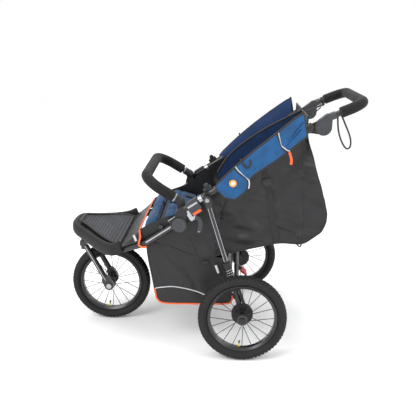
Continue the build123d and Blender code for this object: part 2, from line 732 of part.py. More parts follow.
def make_lever_clamp():
    """Brake lever perch on the right arm."""
    a, b = handle_point(24, -HANDLE_X), handle_point(38, -HANDLE_X)
    ring_part = rod(a, b, HANDLE_TUBE_R + 3.5)
    mid = handle_point(31, -HANDLE_X)
    ring_part += Pos((mid[0] + LEVER_PIVOT[0]) / 2 - 2, mid[1], mid[2]) * Box(34, 11, 9)
    ring_part -= rod(handle_point(10, -HANDLE_X), handle_point(60, -HANDLE_X), HANDLE_TUBE_R)
    return ring_part.solids().sort_by(SortBy.VOLUME)[-1]


LEVER_LEN = 62.0


def make_brake_lever():
    """Hand brake lever, lying inside the right arm and pointing at the grip."""
    x, y, z = LEVER_PIVOT
    hub_x = x + 8
    start = (hub_x, y - 4, z - 13)
    knee = (hub_x + 4, y - 16, z - 18)
    tip = (hub_x + 6, y - 16 - LEVER_LEN * HANDLE_DIR[0], z - 18 - LEVER_LEN * HANDLE_DIR[1] * 0.9)
    lever = rod((hub_x, y - 4, z - 5.2), (hub_x, y - 4, z - 17), 5)
    lever += rod(start, knee, 4)
    lever += rod(knee, tip, 3.6)
    lever += Pos(*knee) * Sphere(4)
    lever += Pos(*tip) * Sphere(4.4)
    return lever


CABLE_R = 2.2
CABLE_ROUTE = [(-172, 430, 826), (-160, 408, 808), (-128, 382, 792), (-84, 366, 784), (-34, 358, 780),
               (18, 354, 778),
               (70, 353, 777), (120, 354, 778), (162, 357, 784), (186, 358, 794)]

STRAP_R = 3.0
STRAP_ROUTE = [(211.5, 437.0, 845.0), (211, 438, 826), (209, 441, 797), (207, 448, 770),
               (206, 460, 744), (205, 473, 727),
               (205, 486, 733), (206, 487, 757), (207, 478, 784), (209, 465, 811), (211, 455, 833),
               (211.5, 447, 850)]


def cord_radii(route):
    """Largest tangent arcs that each corner's shorter run allows."""
    radii = []
    for a, b, c in zip(route, route[1:], route[2:]):
        one, two = Vector(*b) - Vector(*a), Vector(*c) - Vector(*b)
        turn = math.radians(one.get_angle(two))
        radii.append(0.45 * min(one.length, two.length) / math.tan(turn / 2))
    return radii


def make_cord(name, route, radius):
    """Round cord along straight runs joined by tangent arcs."""
    radii = cord_radii(route)
    path = FilletPolyline(*route, radius=radii)
    cord = sweep(Plane(origin=path @ 0, z_dir=path % 0) * Circle(radius), path=path)
    share = cord.volume / (math.pi * radius ** 2 * path.length)
    rounded = [round(r, 1) for r in radii]
    print(f"{name}: length {path.length:.1f} mm, radii {rounded}, volume share {share:.3f}")
    return cord


# ---------------------------------------------------------------- bumper

def bumper_path(start):
    """U-shaped path of the bumper bar."""
    left = [(BUMPER_X, *bumper_line(start)), (BUMPER_X, *bumper_line(BUMPER_REACH))]
    return left + [(-x, y, z) for x, y, z in reversed(left)]


def make_bumper_tube():
    """Bumper bar tube, seated in both sockets."""
    return tube_along(bumper_path(-6), BUMPER_BEND_R, BUMPER_R, TUBE_WALL)


def make_bumper_sleeve():
    """Foam sleeve on the bumper bar."""
    return tube_along(bumper_path(SOCKET_L - 12 + SLEEVE_GAP), BUMPER_BEND_R, SLEEVE_R, SLEEVE_R - BUMPER_R)


# ---------------------------------------------------------------- rear legs

def leg_rod(d0, d1, radius, x=LEG_X):
    """Round bar on the left leg's axis."""
    return rod((x, *on_leg(d0)), (x, *on_leg(d1)), radius)


def make_rear_leg():
    """Left rear leg with the eye it hangs from."""
    leg = leg_rod(0, LEG_END, LEG_R)
    leg += cross_rod(*LEG_PIVOT, LEG_EYE_R, LEG_X - LEG_R, LEG_X + LEG_R)
    leg += slot_plate(LEG_PIVOT, on_leg(34), LEG_EYE_R, LEG_R, LEG_X - LEG_R, LEG_X + LEG_R - 4)
    leg -= cross_rod(*LEG_PIVOT, LEG_PIN_R + RUN, LEG_X - 30, LEG_X + 30)
    return leg


def make_cross_tube():
    """Tube between the legs, with a lug each side for the lower stays and a mount for the pedal."""
    y, z = on_leg(CROSS_D)
    tube = cross_rod(y, z, CROSS_R, -(LEG_X - 4), LEG_X - 4)
    tube -= both_as_one(leg_rod(CROSS_D - 30, CROSS_D + 30, LEG_R))
    tube = tube.solids().sort_by(SortBy.VOLUME)[-1]
    for side in SIDES.values():
        x0, x1 = sorted((side * (STAY_X0 - 2), side * (STAY_X0 - 7)))
        tube += slot_plate((y, z), on_leg(STAY_END_D), CROSS_R + 1, 9, x0, x1)
    eye = slot_plate((y, z), PEDAL_PIVOT, CROSS_R + 1, PEDAL_EYE_R, -PEDAL_EYE_HALF, PEDAL_EYE_HALF)
    return tube + eye - cross_rod(*PEDAL_PIVOT, PEDAL_R + RUN, -PEDAL_EYE_HALF - 1, PEDAL_EYE_HALF + 1)


def make_spring_cap():
    """Left spring cap clamped on the leg."""
    cap = leg_rod(CAP_D, CAP_D + CAP_L, 13.4)
    return cap - leg_rod(CAP_D - 5, CAP_D + CAP_L + 5, LEG_R)


def make_spring(side):
    """Coil spring between the cap and the wheel carrier."""
    length = CARRIER_TOP - (CAP_D + CAP_L) - 2 * SPRING_WIRE_R - 0.6
    start = Plane(origin=(LEG_X, *on_leg(CAP_D + CAP_L + SPRING_WIRE_R + 0.3)), z_dir=(0, *LEG_DIR))
    coil = Helix(length / SPRING_TURNS, length, SPRING_R)
    wire = sweep(Plane(origin=coil @ 0, z_dir=coil % 0) * Circle(SPRING_WIRE_R), path=coil, is_frenet=True)
    spring = start * wire
    return spring if side > 0 else mirror(spring, about=Plane.YZ)


CARRIER_TOP = 318.0


def make_carrier(side):
    """Sliding wheel carrier with its brake drum plate and stub axle."""
    body = leg_rod(CARRIER_TOP, CARRIER_TOP + 22, 13.2)
    y_arm, z_arm = on_leg(CARRIER_TOP + 11)
    rear = 20.0
    arm = slot_plate((y_arm + 12, z_arm), (REAR_AXLE_Y + rear * 0.2, WHEEL_R + 10), 8, 14,
                     LEG_X - 9, LEG_X + 9)
    clear = leg_rod(CARRIER_TOP + 22, LEG_END + SUSPENSION_TRAVEL + 6, CROSS_R + 5.5)
    body += arm - clear
    drum_x1 = REAR_WHEEL_X - REAR_HUB_W / 2 - 1.0
    body += cross_rod(REAR_AXLE_Y, WHEEL_R, DRUM_R, LEG_X - 3, drum_x1) - leg_rod(
        CROSS_D - 40, LEG_END + 3, LEG_R + 1.5)
    boss = cross_rod(REAR_AXLE_Y, WHEEL_R, 15, LEG_X - 8, drum_x1)
    body += boss - leg_rod(CROSS_D - 40, LEG_END + 3, LEG_R + 1.5)
    body += cross_rod(REAR_AXLE_Y, WHEEL_R, AXLE_R, drum_x1, REAR_WHEEL_X + REAR_HUB_W / 2 + 3)
    nut_x = REAR_WHEEL_X + REAR_HUB_W / 2 + 1
    body += cross_rod(REAR_AXLE_Y, WHEEL_R, 9, nut_x, nut_x + 4)
    body -= leg_rod(CARRIER_TOP - 30, LEG_END + SUSPENSION_TRAVEL, LEG_R + RUN)
    body = body.solids().sort_by(SortBy.VOLUME)[-1]
    return body if side > 0 else mirror(body, about=Plane.YZ)


PEDAL_R = 5.0
PEDAL_HALF_W = 26.0
PEDAL_L = 20.0
PEDAL_DROP = 14.0          # the pedal's tip below its pin
PEDAL_EYE_R = 7.0
PEDAL_EYE_HALF = 6.0
PEDAL_PIVOT = (on_leg(CROSS_D)[0] + 18.0, on_leg(CROSS_D)[1] - 8.0)


def make_brake_pedal():
    """Foot brake pedal on the rear cross tube's mount."""
    y, z = PEDAL_PIVOT
    tip_y, tip_z = y + PEDAL_L, z - PEDAL_DROP
    outline = [(y - 2, z - 5), (tip_y, tip_z - 6), (tip_y + 2, tip_z), (y + 2, z + 5)]
    notch = PEDAL_EYE_HALF + PLANE_GAP
    pedal = plate(outline, -PEDAL_HALF_W, PEDAL_HALF_W)
    pedal -= cross_rod(y, z, PEDAL_EYE_R + PLANE_GAP, -notch, notch)
    pedal += cross_rod(y, z, PEDAL_R, -PEDAL_HALF_W + 10, PEDAL_HALF_W - 10)
    return pedal


# ---------------------------------------------------------------- moving seat parts

def make_backrest(side):
    """Reclining back of one seat, from its hinge edge to its top."""
    c, s = math.cos(math.radians(BACK_ANGLE)), math.sin(math.radians(BACK_ANGLE))
    y0, z0 = BACK_FOOT
    tip = (y0 + BACK_L * c, z0 + BACK_L * s)
    outline = [(y0, z0), tip, (tip[0] - BACK_T * s, tip[1] + BACK_T * c),
               (y0 - BACK_T * s + 6, z0 + BACK_T * c)]
    x0, x1 = sorted((side * SEAT_GAP, side * SEAT_HALF_W))
    return plate(outline, x0, x1)


def make_lower_stay():
    """Left flat stay from the seat frame's lug towards the rear cross tube."""
    end = on_leg(STAY_END_D)
    stay = slot_plate((STAY_Y, STAY_Z), end, STAY_W / 2, STAY_W / 2, STAY_X0, STAY_X1)
    return stay - cross_rod(STAY_Y, STAY_Z, 5 + RUN, STAY_X0 - 1, STAY_X1 + 1)


# ---------------------------------------------------------------- all nodes

def build_nodes():
    """Every sub-part by its node name."""
    nodes = {
        "front_frame_tube": make_front_tube(),
        "steering_head": make_steering_head(),
        "hinge_housings": both(make_hinge_housing()),
        "hinge_pins": both(make_hinge_pin()),
        "hinge_caps": both(make_hinge_cap()),
        "bumper_sockets": both(make_bumper_socket()),
        "seat_frame": make_seat_frame(),
        "seat_deck": make_seat_deck(),
        "seat_pads": both(make_seat_pad()),
        "calf_panel": make_calf_panel(),
        "footwell_shell": make_footwell_shell(),
        "footwell_mat": make_footwell_mat(),
        "side_panels": both(make_side_panel()),
        "basket": make_basket(),
        "fork_crown": make_fork_crown(),
        "fork_legs": both(make_fork_leg()),
        "front_axle": make_front_axle(),
        "upper_frame_tubes": both(make_upper_tube()),
        "tube_brackets": both(make_tube_bracket()),
        "lock_housings": both(make_lock_housing()),
        "leg_brackets": both(make_leg_bracket()),
        "handle_knuckles": both(make_handle_knuckle()),
        "wings": both(make_wing()),
        "gussets": both(make_gusset()),
        "rear_drop": make_rear_drop(),
        "seat_divider": make_seat_divider(),
        "brake_cable": make_cord("brake cable", CABLE_ROUTE, CABLE_R),
        "handle_tube": make_handle_tube(),
        "handle_grip": make_handle_grip(),
        "handle_discs": both(make_handle_disc()),
        "brake_lever_clamp": make_lever_clamp(),
        "brake_lever": make_brake_lever(),
        "wrist_strap": make_cord("wrist strap", STRAP_ROUTE, STRAP_R),
        "bumper_tube": make_bumper_tube(),
        "bumper_sleeve": make_bumper_sleeve(),
        "rear_leg_tubes": both(make_rear_leg()),
        "rear_cross_tube": make_cross_tube(),
        "spring_caps": both(make_spring_cap()),
        "brake_pedal": make_brake_pedal(),
        "lower_stays": both(make_lower_stay()),
    }
    for name, side in SIDES.items():
        nodes[f"fold_lock_{name}"] = make_fold_lock(side)
        nodes[f"spring_{name}"] = make_spring(side)
        nodes[f"hub_carrier_{name}"] = make_carrier(side)
        nodes[f"backrest_{name}"] = make_backrest(side)
        nodes.update(wheel_nodes(f"rear_{name}", (side * REAR_WHEEL_X, REAR_AXLE_Y, WHEEL_R), REAR_HUB_W))
    nodes.update(wheel_nodes("front", (0, FRONT_AXLE_Y, WHEEL_R), FRONT_HUB_W))
    return nodes


if __name__ == "__main__":
    os.makedirs("parts", exist_ok=True)
    for node, shape in build_nodes().items():
        export_step(shape, f"parts/{node}.step")
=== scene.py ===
"""Side-by-side double stroller: cloth, foam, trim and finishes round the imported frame.

+X is the children's left, -Y is the front, +Z is up, and lengths are in metres unless a
name says mm.  Side shapes are drawn as (y, z) points in mm and carried to the side's x.
"""

import logging
import math
from dataclasses import dataclass, replace
from enum import Enum
from typing import Callable, Sequence

import bmesh
import bpy
import numpy as np
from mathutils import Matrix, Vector


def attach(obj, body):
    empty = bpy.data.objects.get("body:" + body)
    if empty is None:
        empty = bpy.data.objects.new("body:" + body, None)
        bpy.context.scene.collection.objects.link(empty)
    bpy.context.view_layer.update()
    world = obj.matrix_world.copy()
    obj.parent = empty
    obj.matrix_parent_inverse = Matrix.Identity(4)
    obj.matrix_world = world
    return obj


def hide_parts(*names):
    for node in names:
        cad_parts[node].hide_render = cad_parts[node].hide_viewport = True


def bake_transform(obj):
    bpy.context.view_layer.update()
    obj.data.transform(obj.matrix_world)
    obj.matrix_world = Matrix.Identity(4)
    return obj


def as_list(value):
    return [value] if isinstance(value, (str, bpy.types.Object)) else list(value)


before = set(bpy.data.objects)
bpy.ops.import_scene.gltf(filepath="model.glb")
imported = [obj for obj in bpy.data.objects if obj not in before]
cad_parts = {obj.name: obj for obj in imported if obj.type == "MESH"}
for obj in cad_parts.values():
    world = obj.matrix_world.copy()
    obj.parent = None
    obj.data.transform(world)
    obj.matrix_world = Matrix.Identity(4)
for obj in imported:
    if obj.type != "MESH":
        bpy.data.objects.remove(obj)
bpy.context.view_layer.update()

LOG = logging.getLogger("stroller")
MM = 0.001
SIDES = {"left": 1.0, "right": -1.0}
Pairs = Sequence[tuple[float, float]]

# Upper frame tube in mm: a point on its axis, rise over run, and how fast it leans in past the bend.
TUBE_Y, TUBE_Z, TUBE_RISE = -114.6, 502.2, 0.6494
TUBE_BEND, TUBE_LEAN = 179, 0.298
TUBE_SIN, TUBE_COS = 0.5446, 0.8387


class Space(Enum):
    """Where a finish takes its pattern's coordinates from."""

    PLACE = "Object"
    CLOTH = "UV"


# ------------------------------------------------------------------ shapes

def smoothstep(value: np.ndarray, low: float, high: float) -> np.ndarray:
    """Ramp from 0 at low to 1 at high, with t * t * (3 - 2 t) between."""
    t = np.clip((value - low) / (high - low), 0.0, 1.0)
    return t * t * (3.0 - 2.0 * t)


def line(points: Sequence[Sequence[float]], count: int, smooth: bool = True,
         closed: bool = False) -> np.ndarray:
    """Even samples on a line through points.

    A smooth line is a Catmull-Rom cubic between each pair of points; the samples are then
    spaced evenly by arc length with linear interpolation.

    Args:
        points: Corner points, two or three numbers each.
        count: How many samples.
        smooth: Cubic if true, straight runs if not.
        closed: Whether the last point joins the first.
    Returns:
        Samples, one row each.
    """
    p = np.asarray(points, float)
    if closed:
        p = np.vstack([p, p[:1]])
    if smooth and len(p) > 2:
        if closed:
            q = np.vstack([p[-2:-1], p, p[1:2]])
        else:
            q = np.vstack([2 * p[0] - p[1], p, 2 * p[-1] - p[-2]])
        s = np.linspace(0, len(p) - 1, 40 * len(p))
        k = np.minimum(s.astype(int), len(p) - 2)
        t = (s - k)[:, None]
        a, b, c, d = q[k], q[k + 1], q[k + 2], q[k + 3]
        square, cube = 2 * a - 5 * b + 4 * c - d, 3 * b - a - 3 * c + d
        p = 0.5 * (2 * b + (c - a) * t + square * t ** 2 + cube * t ** 3)
    along = np.concatenate([[0.0], np.cumsum(np.linalg.norm(np.diff(p, axis=0), axis=1))])
    want = np.linspace(0, along[-1], count, endpoint=not closed)
    return np.stack([np.interp(want, along, p[:, i]) for i in range(p.shape[1])], 1)


def oval(half_w: float, half_h: float, count: int = 16, power: float = 0.6) -> np.ndarray:
    """Closed section: x and y are half sizes times the signed power of cos and sin."""
    t = np.linspace(0, 2 * math.pi, count, endpoint=False)
    c, s = np.cos(t), np.sin(t)
    return np.stack([half_w * np.sign(c) * np.abs(c) ** power, half_h * np.sign(s) * np.abs(s) ** power], 1)


def carry(path: np.ndarray, section: np.ndarray, up: Sequence[float], closed: bool = False) -> np.ndarray:
    """A section moved along a path.

    Each point is path + section_x * side + section_y * lift, where side is the tangent
    crossed with up, and lift is side crossed with the tangent.

    Args:
        path: Path points (n, 3).
        section: Section points (m, 2), or (n, m, 2) where it changes along the path.
        up: Direction that lift stays nearest to; (3,) or (n, 3).
        closed: Whether the path is a loop.
    Returns:
        Grid of points (n, m, 3).
    """
    if closed:
        tangent = np.roll(path, -1, axis=0) - np.roll(path, 1, axis=0)
    else:
        tangent = np.gradient(path, axis=0)
    tangent /= np.linalg.norm(tangent, axis=1, keepdims=True)
    side = np.cross(tangent, np.broadcast_to(np.asarray(up, float), tangent.shape))
    side /= np.linalg.norm(side, axis=1, keepdims=True)
    lift = np.cross(side, tangent)
    section = np.broadcast_to(section, (len(path), *section.shape[-2:]))
    return path[:, None] + section[..., :1] * side[:, None] + section[..., 1:] * lift[:, None]


def coons(low: Pairs, high: Pairs, rows: int, cols: int) -> np.ndarray:
    """Side outline filled with a grid: straight rungs from the low edge to the high edge."""
    a, b = line(low, rows), line(high, rows)
    t = np.linspace(0, 1, cols)[None, :, None]
    return a[:, None] * (1 - t) + b[:, None] * t


def crease(yz: np.ndarray, a: tuple[float, float], b: tuple[float, float], width: float) -> np.ndarray:
    """Bell-shaped ridge round the line a to b: exp(-(distance / width) squared)."""
    start, run = np.asarray(a, float), np.subtract(b, a).astype(float)
    t = np.clip(((yz - start) @ run) / (run @ run), 0, 1)
    gap = np.linalg.norm(yz - (start + t[..., None] * run), axis=-1)
    return np.exp(-(gap / width) ** 2)


def ripples(yz: np.ndarray, seed: int, size: float, turns: int = 6) -> np.ndarray:
    """Slow random cloth waves: a sum of sines with random directions, wavelengths near size."""
    rng = np.random.default_rng(seed)
    total = np.zeros(yz.shape[:-1])
    for _ in range(turns):
        angle, phase, wave = rng.uniform(0, math.pi), rng.uniform(0, 6.28), size * rng.uniform(0.6, 1.7)
        total += np.sin((yz @ [math.cos(angle), math.sin(angle)]) * 2 * math.pi / wave + phase)
    return total / turns


# ------------------------------------------------------------------ meshes

def build(name: str, points: np.ndarray, wrap_rows: bool = False, wrap_cols: bool = False,
          caps: bool = False, strips: bool = False, sharp: float = 50.0) -> bpy.types.Object:
    """Mesh from a grid of points in metres.

    Args:
        name: Piece name.
        points: Grid (rows, cols, 3).
        wrap_rows: Join the last row to the first.
        wrap_cols: Join the last column to the first.
        caps: Close both end rows with a face.
        strips: Close both end rows of a folded-over sheet with quads.
        sharp: Edges that turn more than this many degrees stay crisp.
    Returns:
        The object, with a UV map in metres along rows and columns.
    """
    r, c = points.shape[:2]
    i, j = np.meshgrid(np.arange(r - (not wrap_rows)), np.arange(c - (not wrap_cols)), indexing="ij")
    corners = ((i, j), (i + 1, j), (i + 1, j + 1), (i, j + 1))
    faces = np.stack([(a % r) * c + b % c for a, b in corners], -1).reshape(-1, 4).tolist()
    step_r = np.linalg.norm(np.roll(points, -1, 0) - points, axis=-1).mean(1)
    step_c = np.linalg.norm(np.roll(points, -1, 1) - points, axis=-1).mean(0)
    along = np.concatenate([[0], np.cumsum(step_r)])
    across = np.concatenate([[0], np.cumsum(step_c)])
    uv = np.stack([np.stack([along[a], across[b]], -1) for a, b in corners], -2).reshape(-1, 2)
    extra = []
    if caps:
        extra = [list(range(c)), list(range((r - 1) * c, r * c))[::-1]]
    if strips:
        k = np.arange(c // 2 - 1)
        rim = np.stack([k, k + 1, c - 2 - k, c - 1 - k], 1)
        extra = rim.tolist() + (rim + (r - 1) * c)[:, ::-1].tolist()
    mesh = bpy.data.meshes.new(name)
    mesh.from_pydata(points.reshape(-1, 3).tolist(), [], faces + extra)
    layer = mesh.uv_layers.new(name="Cloth")
    full = np.zeros((len(mesh.loops), 2))
    full[:len(uv)] = uv
    layer.data.foreach_set("uv", full.ravel())
    bm = bmesh.new()
    bm.from_mesh(mesh)
    bmesh.ops.recalc_face_normals(bm, faces=bm.faces)
    bm.to_mesh(mesh)
    bm.free()
    mesh.shade_smooth()
    mesh.set_sharp_from_angle(angle=math.radians(sharp))
    obj = bpy.data.objects.new(name, mesh)
    bpy.context.scene.collection.objects.link(obj)
    return obj


def normals(points: np.ndarray) -> np.ndarray:
    """Unit normals of a grid: the cross product of its two gradients."""
    n = np.cross(np.gradient(points, axis=0), np.gradient(points, axis=1))
    return n / np.maximum(np.linalg.norm(n, axis=-1, keepdims=True), 1e-12)


def sheet(name: str, points: np.ndarray, thick: float) -> bpy.types.Object:
    """Closed cloth sheet: the grid offset half its thickness each way, folded over at its rims."""
    n = normals(points) * thick / 2
    folded = np.concatenate([points + n, (points - n)[:, ::-1]], axis=1)
    return build(name, folded, wrap_cols=True, strips=True)


def rope(name: str, path: np.ndarray, radius: float,
         up: Sequence[float] = (1, 0, 0)) -> bpy.types.Object:
    """Round trim such as piping along a path."""
    return build(name, carry(path, oval(radius, radius, 10, 1.0), up), wrap_cols=True, caps=True)


def ribbon(name: str, path: np.ndarray, width: float, thick: float,
           up: Sequence[float] = (1, 0, 0)) -> bpy.types.Object:
    """Flat strap along a path: a rounded rectangle whose wide side lies across up."""
    return build(name, carry(path, oval(width / 2, thick / 2, 16, 0.35), up), wrap_cols=True, caps=True)


def lathe(name: str, profile: Pairs, centre: Sequence[float], axis: Sequence[float],
          count: int) -> bpy.types.Object:
    """Turned piece: each (along, radius) point in mm swept round the axis."""
    n = np.asarray(axis, float) / np.linalg.norm(axis)
    u = np.cross(n, [0.0, 0.0, 1.0] if abs(n[2]) < 0.9 else [0.0, 1.0, 0.0])
    u /= np.linalg.norm(u)
    w = np.cross(n, u)
    t = np.linspace(0, 2 * math.pi, count, endpoint=False)
    spin = np.cos(t)[:, None] * u + np.sin(t)[:, None] * w
    p = np.asarray(profile, float) * MM
    grid = np.asarray(centre, float) + p[:, None, :1] * n + p[:, None, 1:] * spin[None]
    return build(name, grid, wrap_cols=True, caps=True, sharp=35.0)


def block(name: str, centre: Sequence[float], half: Sequence[float], along: Sequence[float],
          up: Sequence[float]) -> bpy.types.Object:
    """Soft-cornered moulded block: a rounded section that draws in at both ends."""
    s = np.array([-1, -0.97, -0.9, -0.6, 0.6, 0.9, 0.97, 1])
    scale = np.array([0.72, 0.88, 0.97, 1, 1, 0.97, 0.88, 0.72])
    axis = np.asarray(along, float) / np.linalg.norm(along)
    path = np.asarray(centre, float) + s[:, None] * half[0] * axis
    section = oval(half[1], half[2], 20, 0.4)[None] * scale[:, None, None]
    return build(name, carry(path, section, up), wrap_cols=True, caps=True, sharp=60)


def join(name: str, parts: list[bpy.types.Object]) -> bpy.types.Object:
    """Several meshes made one piece."""
    with bpy.context.temp_override(active_object=parts[0], selected_editable_objects=parts):
        bpy.ops.object.join()
    parts[0].name = name
    return parts[0]


def at_side(yz: np.ndarray, x: np.ndarray | float, side: float) -> np.ndarray:
    """(y, z) grid in mm put at x mm on one side, in metres."""
    return np.stack([np.broadcast_to(x, yz.shape[:-1]) * side, yz[..., 0], yz[..., 1]], -1) * MM


# ------------------------------------------------------------------ finishes

def linear(code: str) -> tuple[float, float, float, float]:
    """Linear colour from an sRGB hex value."""
    parts = [int(code[k:k + 2], 16) / 255 for k in (0, 2, 4)]
    return (*[v / 12.92 if v <= 0.04045 else ((v + 0.055) / 1.055) ** 2.4 for v in parts], 1.0)


def add(tree: bpy.types.NodeTree, kind: str, inputs: dict | None = None, **settings) -> bpy.types.Node:
    """Adds a node.

    Args:
        tree: Node tree.
        kind: Blender's node type.
        inputs: Socket name or number to a value, or to the output socket that feeds it.
        settings: Node properties.
    Returns:
        The node.
    """
    node = tree.nodes.new(kind)
    for key, value in settings.items():
        setattr(node, key, value)
    for key, value in (inputs or {}).items():
        if isinstance(value, bpy.types.NodeSocket):
            tree.links.new(value, node.inputs[key])
        else:
            node.inputs[key].default_value = value
    return node


def per_metre(size_mm: float) -> float:
    """Texture scale whose pattern repeats about every size_mm."""
    return 1000.0 / size_mm


def per_band(size_mm: float) -> float:
    """Wave texture scale whose bands repeat about every size_mm (scale 1 repeats after pi / 10 m)."""
    return per_metre(size_mm) / 20 * 3.14


@dataclass(frozen=True)
class Finish:
    """What every finish has: two shades that mottle, roughness and fine relief."""

    name: str
    colour: str
    shade: str
    rough: float = 0.5
    rough_vary: float = 0.08
    metal: float = 0.0
    ior: float = 1.5
    sheen: float = 0.0
    coat: float = 0.0
    space: Space = Space.PLACE
    mottle_mm: float = 60.0
    grain_mm: float = 1.5
    relief: float = 0.1

    def coordinates(self, tree: bpy.types.NodeTree) -> bpy.types.NodeSocket:
        """Pattern coordinates in metres."""
        return add(tree, "ShaderNodeTexCoord").outputs[self.space.value]

    def pattern(self, tree: bpy.types.NodeTree, where: bpy.types.NodeSocket) -> tuple:
        """The finish's own pattern: a height socket and a 0..1 shade socket."""
        grain = add(tree, "ShaderNodeTexNoise",
                    {"Vector": where, "Scale": per_metre(self.grain_mm), "Detail": 3.0})
        return grain.outputs["Fac"], grain.outputs["Fac"]

    def material(self) -> bpy.types.Material:
        """Builds the material."""
        mat = bpy.data.materials.new(self.name)
        mat.use_nodes = True
        tree = mat.node_tree
        tree.nodes.clear()
        where = self.coordinates(tree)
        height, tone = self.pattern(tree, where)
        cloud = add(tree, "ShaderNodeTexNoise",
                    {"Vector": where, "Scale": per_metre(self.mottle_mm), "Detail": 5.0})
        blend = add(tree, "ShaderNodeMath", {0: tone, 1: cloud.outputs["Fac"]}, operation="MULTIPLY")
        amount = add(tree, "ShaderNodeMapRange", {0: blend.outputs[0], 1: 0.12, 2: 0.45})
        mix = add(tree, "ShaderNodeMix",
                  {0: amount.outputs[0], 6: linear(self.shade), 7: linear(self.colour)}, data_type="RGBA")
        rough = add(tree, "ShaderNodeMapRange",
                    {0: cloud.outputs["Fac"], 1: 0.3, 2: 0.7,
                     3: self.rough - self.rough_vary, 4: self.rough + self.rough_vary})
        bump = add(tree, "ShaderNodeBump",
                   {"Height": height, "Strength": self.relief, "Distance": self.grain_mm * MM})
        shader = add(tree, "ShaderNodeBsdfPrincipled", {
            "Base Color": mix.outputs[2], "Roughness": rough.outputs[0], "Normal": bump.outputs[0],
            "Metallic": self.metal, "IOR": self.ior, "Sheen Weight": self.sheen, "Sheen Roughness": 0.45,
            "Coat Weight": self.coat, "Coat Roughness": 0.25})
        add(tree, "ShaderNodeOutputMaterial", {"Surface": shader.outputs[0]})
        return mat


@dataclass(frozen=True)
class Woven(Finish):
    """Woven cloth: warp and weft are two crossed waves whose higher one lies on top."""

    thread_mm: float = 2.4

    def pattern(self, tree: bpy.types.NodeTree, where: bpy.types.NodeSocket) -> tuple:
        """Height and tone of crossed threads, roughened by slub noise."""
        waves = []
        for axis in ("X", "Y"):
            wave = add(tree, "ShaderNodeTexWave",
                       {"Vector": where, "Scale": per_band(self.thread_mm), "Distortion": 1.2,
                        "Detail": 1.0, "Detail Scale": 3.0}, bands_direction=axis)
            waves.append(wave.outputs["Fac"])
        top = add(tree, "ShaderNodeMath", {0: waves[0], 1: waves[1]}, operation="MAXIMUM")
        slub = add(tree, "ShaderNodeTexNoise", {"Vector": where, "Scale": per_metre(6.0), "Detail": 4.0})
        tone = add(tree, "ShaderNodeMath", {0: top.outputs[0], 1: slub.outputs["Fac"], 2: 0.25},
                   operation="MULTIPLY_ADD")
        return top.outputs[0], tone.outputs[0]


@dataclass(frozen=True)
class Cellular(Finish):
    """Closed-cell foam or pebbled rubber: Voronoi cells with soft rims."""

    cell_mm: float = 3.0

    def pattern(self, tree: bpy.types.NodeTree, where: bpy.types.NodeSocket) -> tuple:
        """Cell distance is the height, its noise the tone."""
        cell = add(tree, "ShaderNodeTexVoronoi", {"Vector": where, "Scale": per_metre(self.cell_mm)})
        noise = add(tree, "ShaderNodeTexNoise", {"Vector": where, "Scale": per_metre(self.cell_mm * 2)})
        return cell.outputs["Distance"], noise.outputs["Fac"]


@dataclass(frozen=True)
class Banded(Finish):
    """Ribs along one cloth direction, as in webbing, binding, a ribbed mat or a tyre wall."""

    rib_mm: float = 2.0
    direction: str = "X"

    def pattern(self, tree: bpy.types.NodeTree, where: bpy.types.NodeSocket) -> tuple:
        """A wave across the ribs; its tone is the wave roughened by noise."""
        wave = add(tree, "ShaderNodeTexWave",
                   {"Vector": where, "Scale": per_band(self.rib_mm), "Distortion": 0.4},
                   bands_direction=self.direction)
        noise = add(tree, "ShaderNodeTexNoise", {"Vector": where, "Scale": per_metre(self.rib_mm * 4)})
        tone = add(tree, "ShaderNodeMath", {0: wave.outputs["Fac"], 1: noise.outputs["Fac"], 2: 0.3},
                   operation="MULTIPLY_ADD")
        return wave.outputs["Fac"], tone.outputs[0]


# Epoxy powder coat over steel tube: satin black with faint orange peel and lighter rubbed patches.
POWDER = Finish("powder_coated_steel_black", "141417", "0b0b0d", 0.36, 0.06, coat=0.25, grain_mm=1.6,
                relief=0.06)
# Injection-moulded nylon: spark-eroded grain gives a dull even black.
NYLON = Finish("moulded_nylon_black", "161618", "0c0c0e", 0.52, 0.07, grain_mm=1.2, relief=0.14)
# The same nylon in a greyer mix, on caps and joints.
NYLON_GREY = Finish("moulded_nylon_charcoal", "3b3c41", "27282c", 0.45, 0.07, grain_mm=1.2, relief=0.12)
# Bright silver laid along edges of the black tubes, housings and legs: painted highlight.
SILVER_HIGHLIGHT = Finish("painted_highlight_silver", "c9ccd0", "9a9da2", 0.3, 0.08, 1.0, grain_mm=0.8, relief=0.08)
# Bright zinc-plated steel of springs and axles.
ZINC = Finish("zinc_plated_steel", "c4c6c9", "7f8286", 0.26, 0.08, 1.0, grain_mm=1.0, relief=0.05)
# Black oxide spokes with a low shine.
SPOKE = Finish("black_oxide_spoke_wire", "2c2d30", "18191c", 0.35, 0.05, 0.6, grain_mm=1.0, relief=0.05)
# Painted rim.
RIM = Finish("enamelled_rim_black", "101012", "08080a", 0.3, 0.05, coat=0.3, grain_mm=1.4, relief=0.04)
# Orange acetal slider and piping cover.
ORANGE = Finish("moulded_acetal_orange", "f4642b", "d64f1c", 0.36, 0.05, grain_mm=1.0, relief=0.05)
ORANGE_CLOTH = Banded("orange_piping_cord", "f7713a", "cf4c1b", 0.6, sheen=0.2, space=Space.CLOTH, rib_mm=2.2,
                      grain_mm=1.0, relief=0.3)
RED = Finish("moulded_nylon_red", "d8262c", "a8161d", 0.38, 0.05, grain_mm=1.0, relief=0.05)
YELLOW = Finish("valve_stem_yellow", "d8c733", "a89a20", 0.4, 0.05, relief=0.04)
# Vulcanised rubber: matt, bloomed grey in patches, with moulded rings round the wall.
RUBBER = Banded("vulcanised_tyre_rubber", "1a1a1c", "0e0e0f", 0.66, 0.1, ior=1.4, space=Space.CLOTH,
                mottle_mm=40, rib_mm=4.0, direction="Y", grain_mm=1.0, relief=0.22)
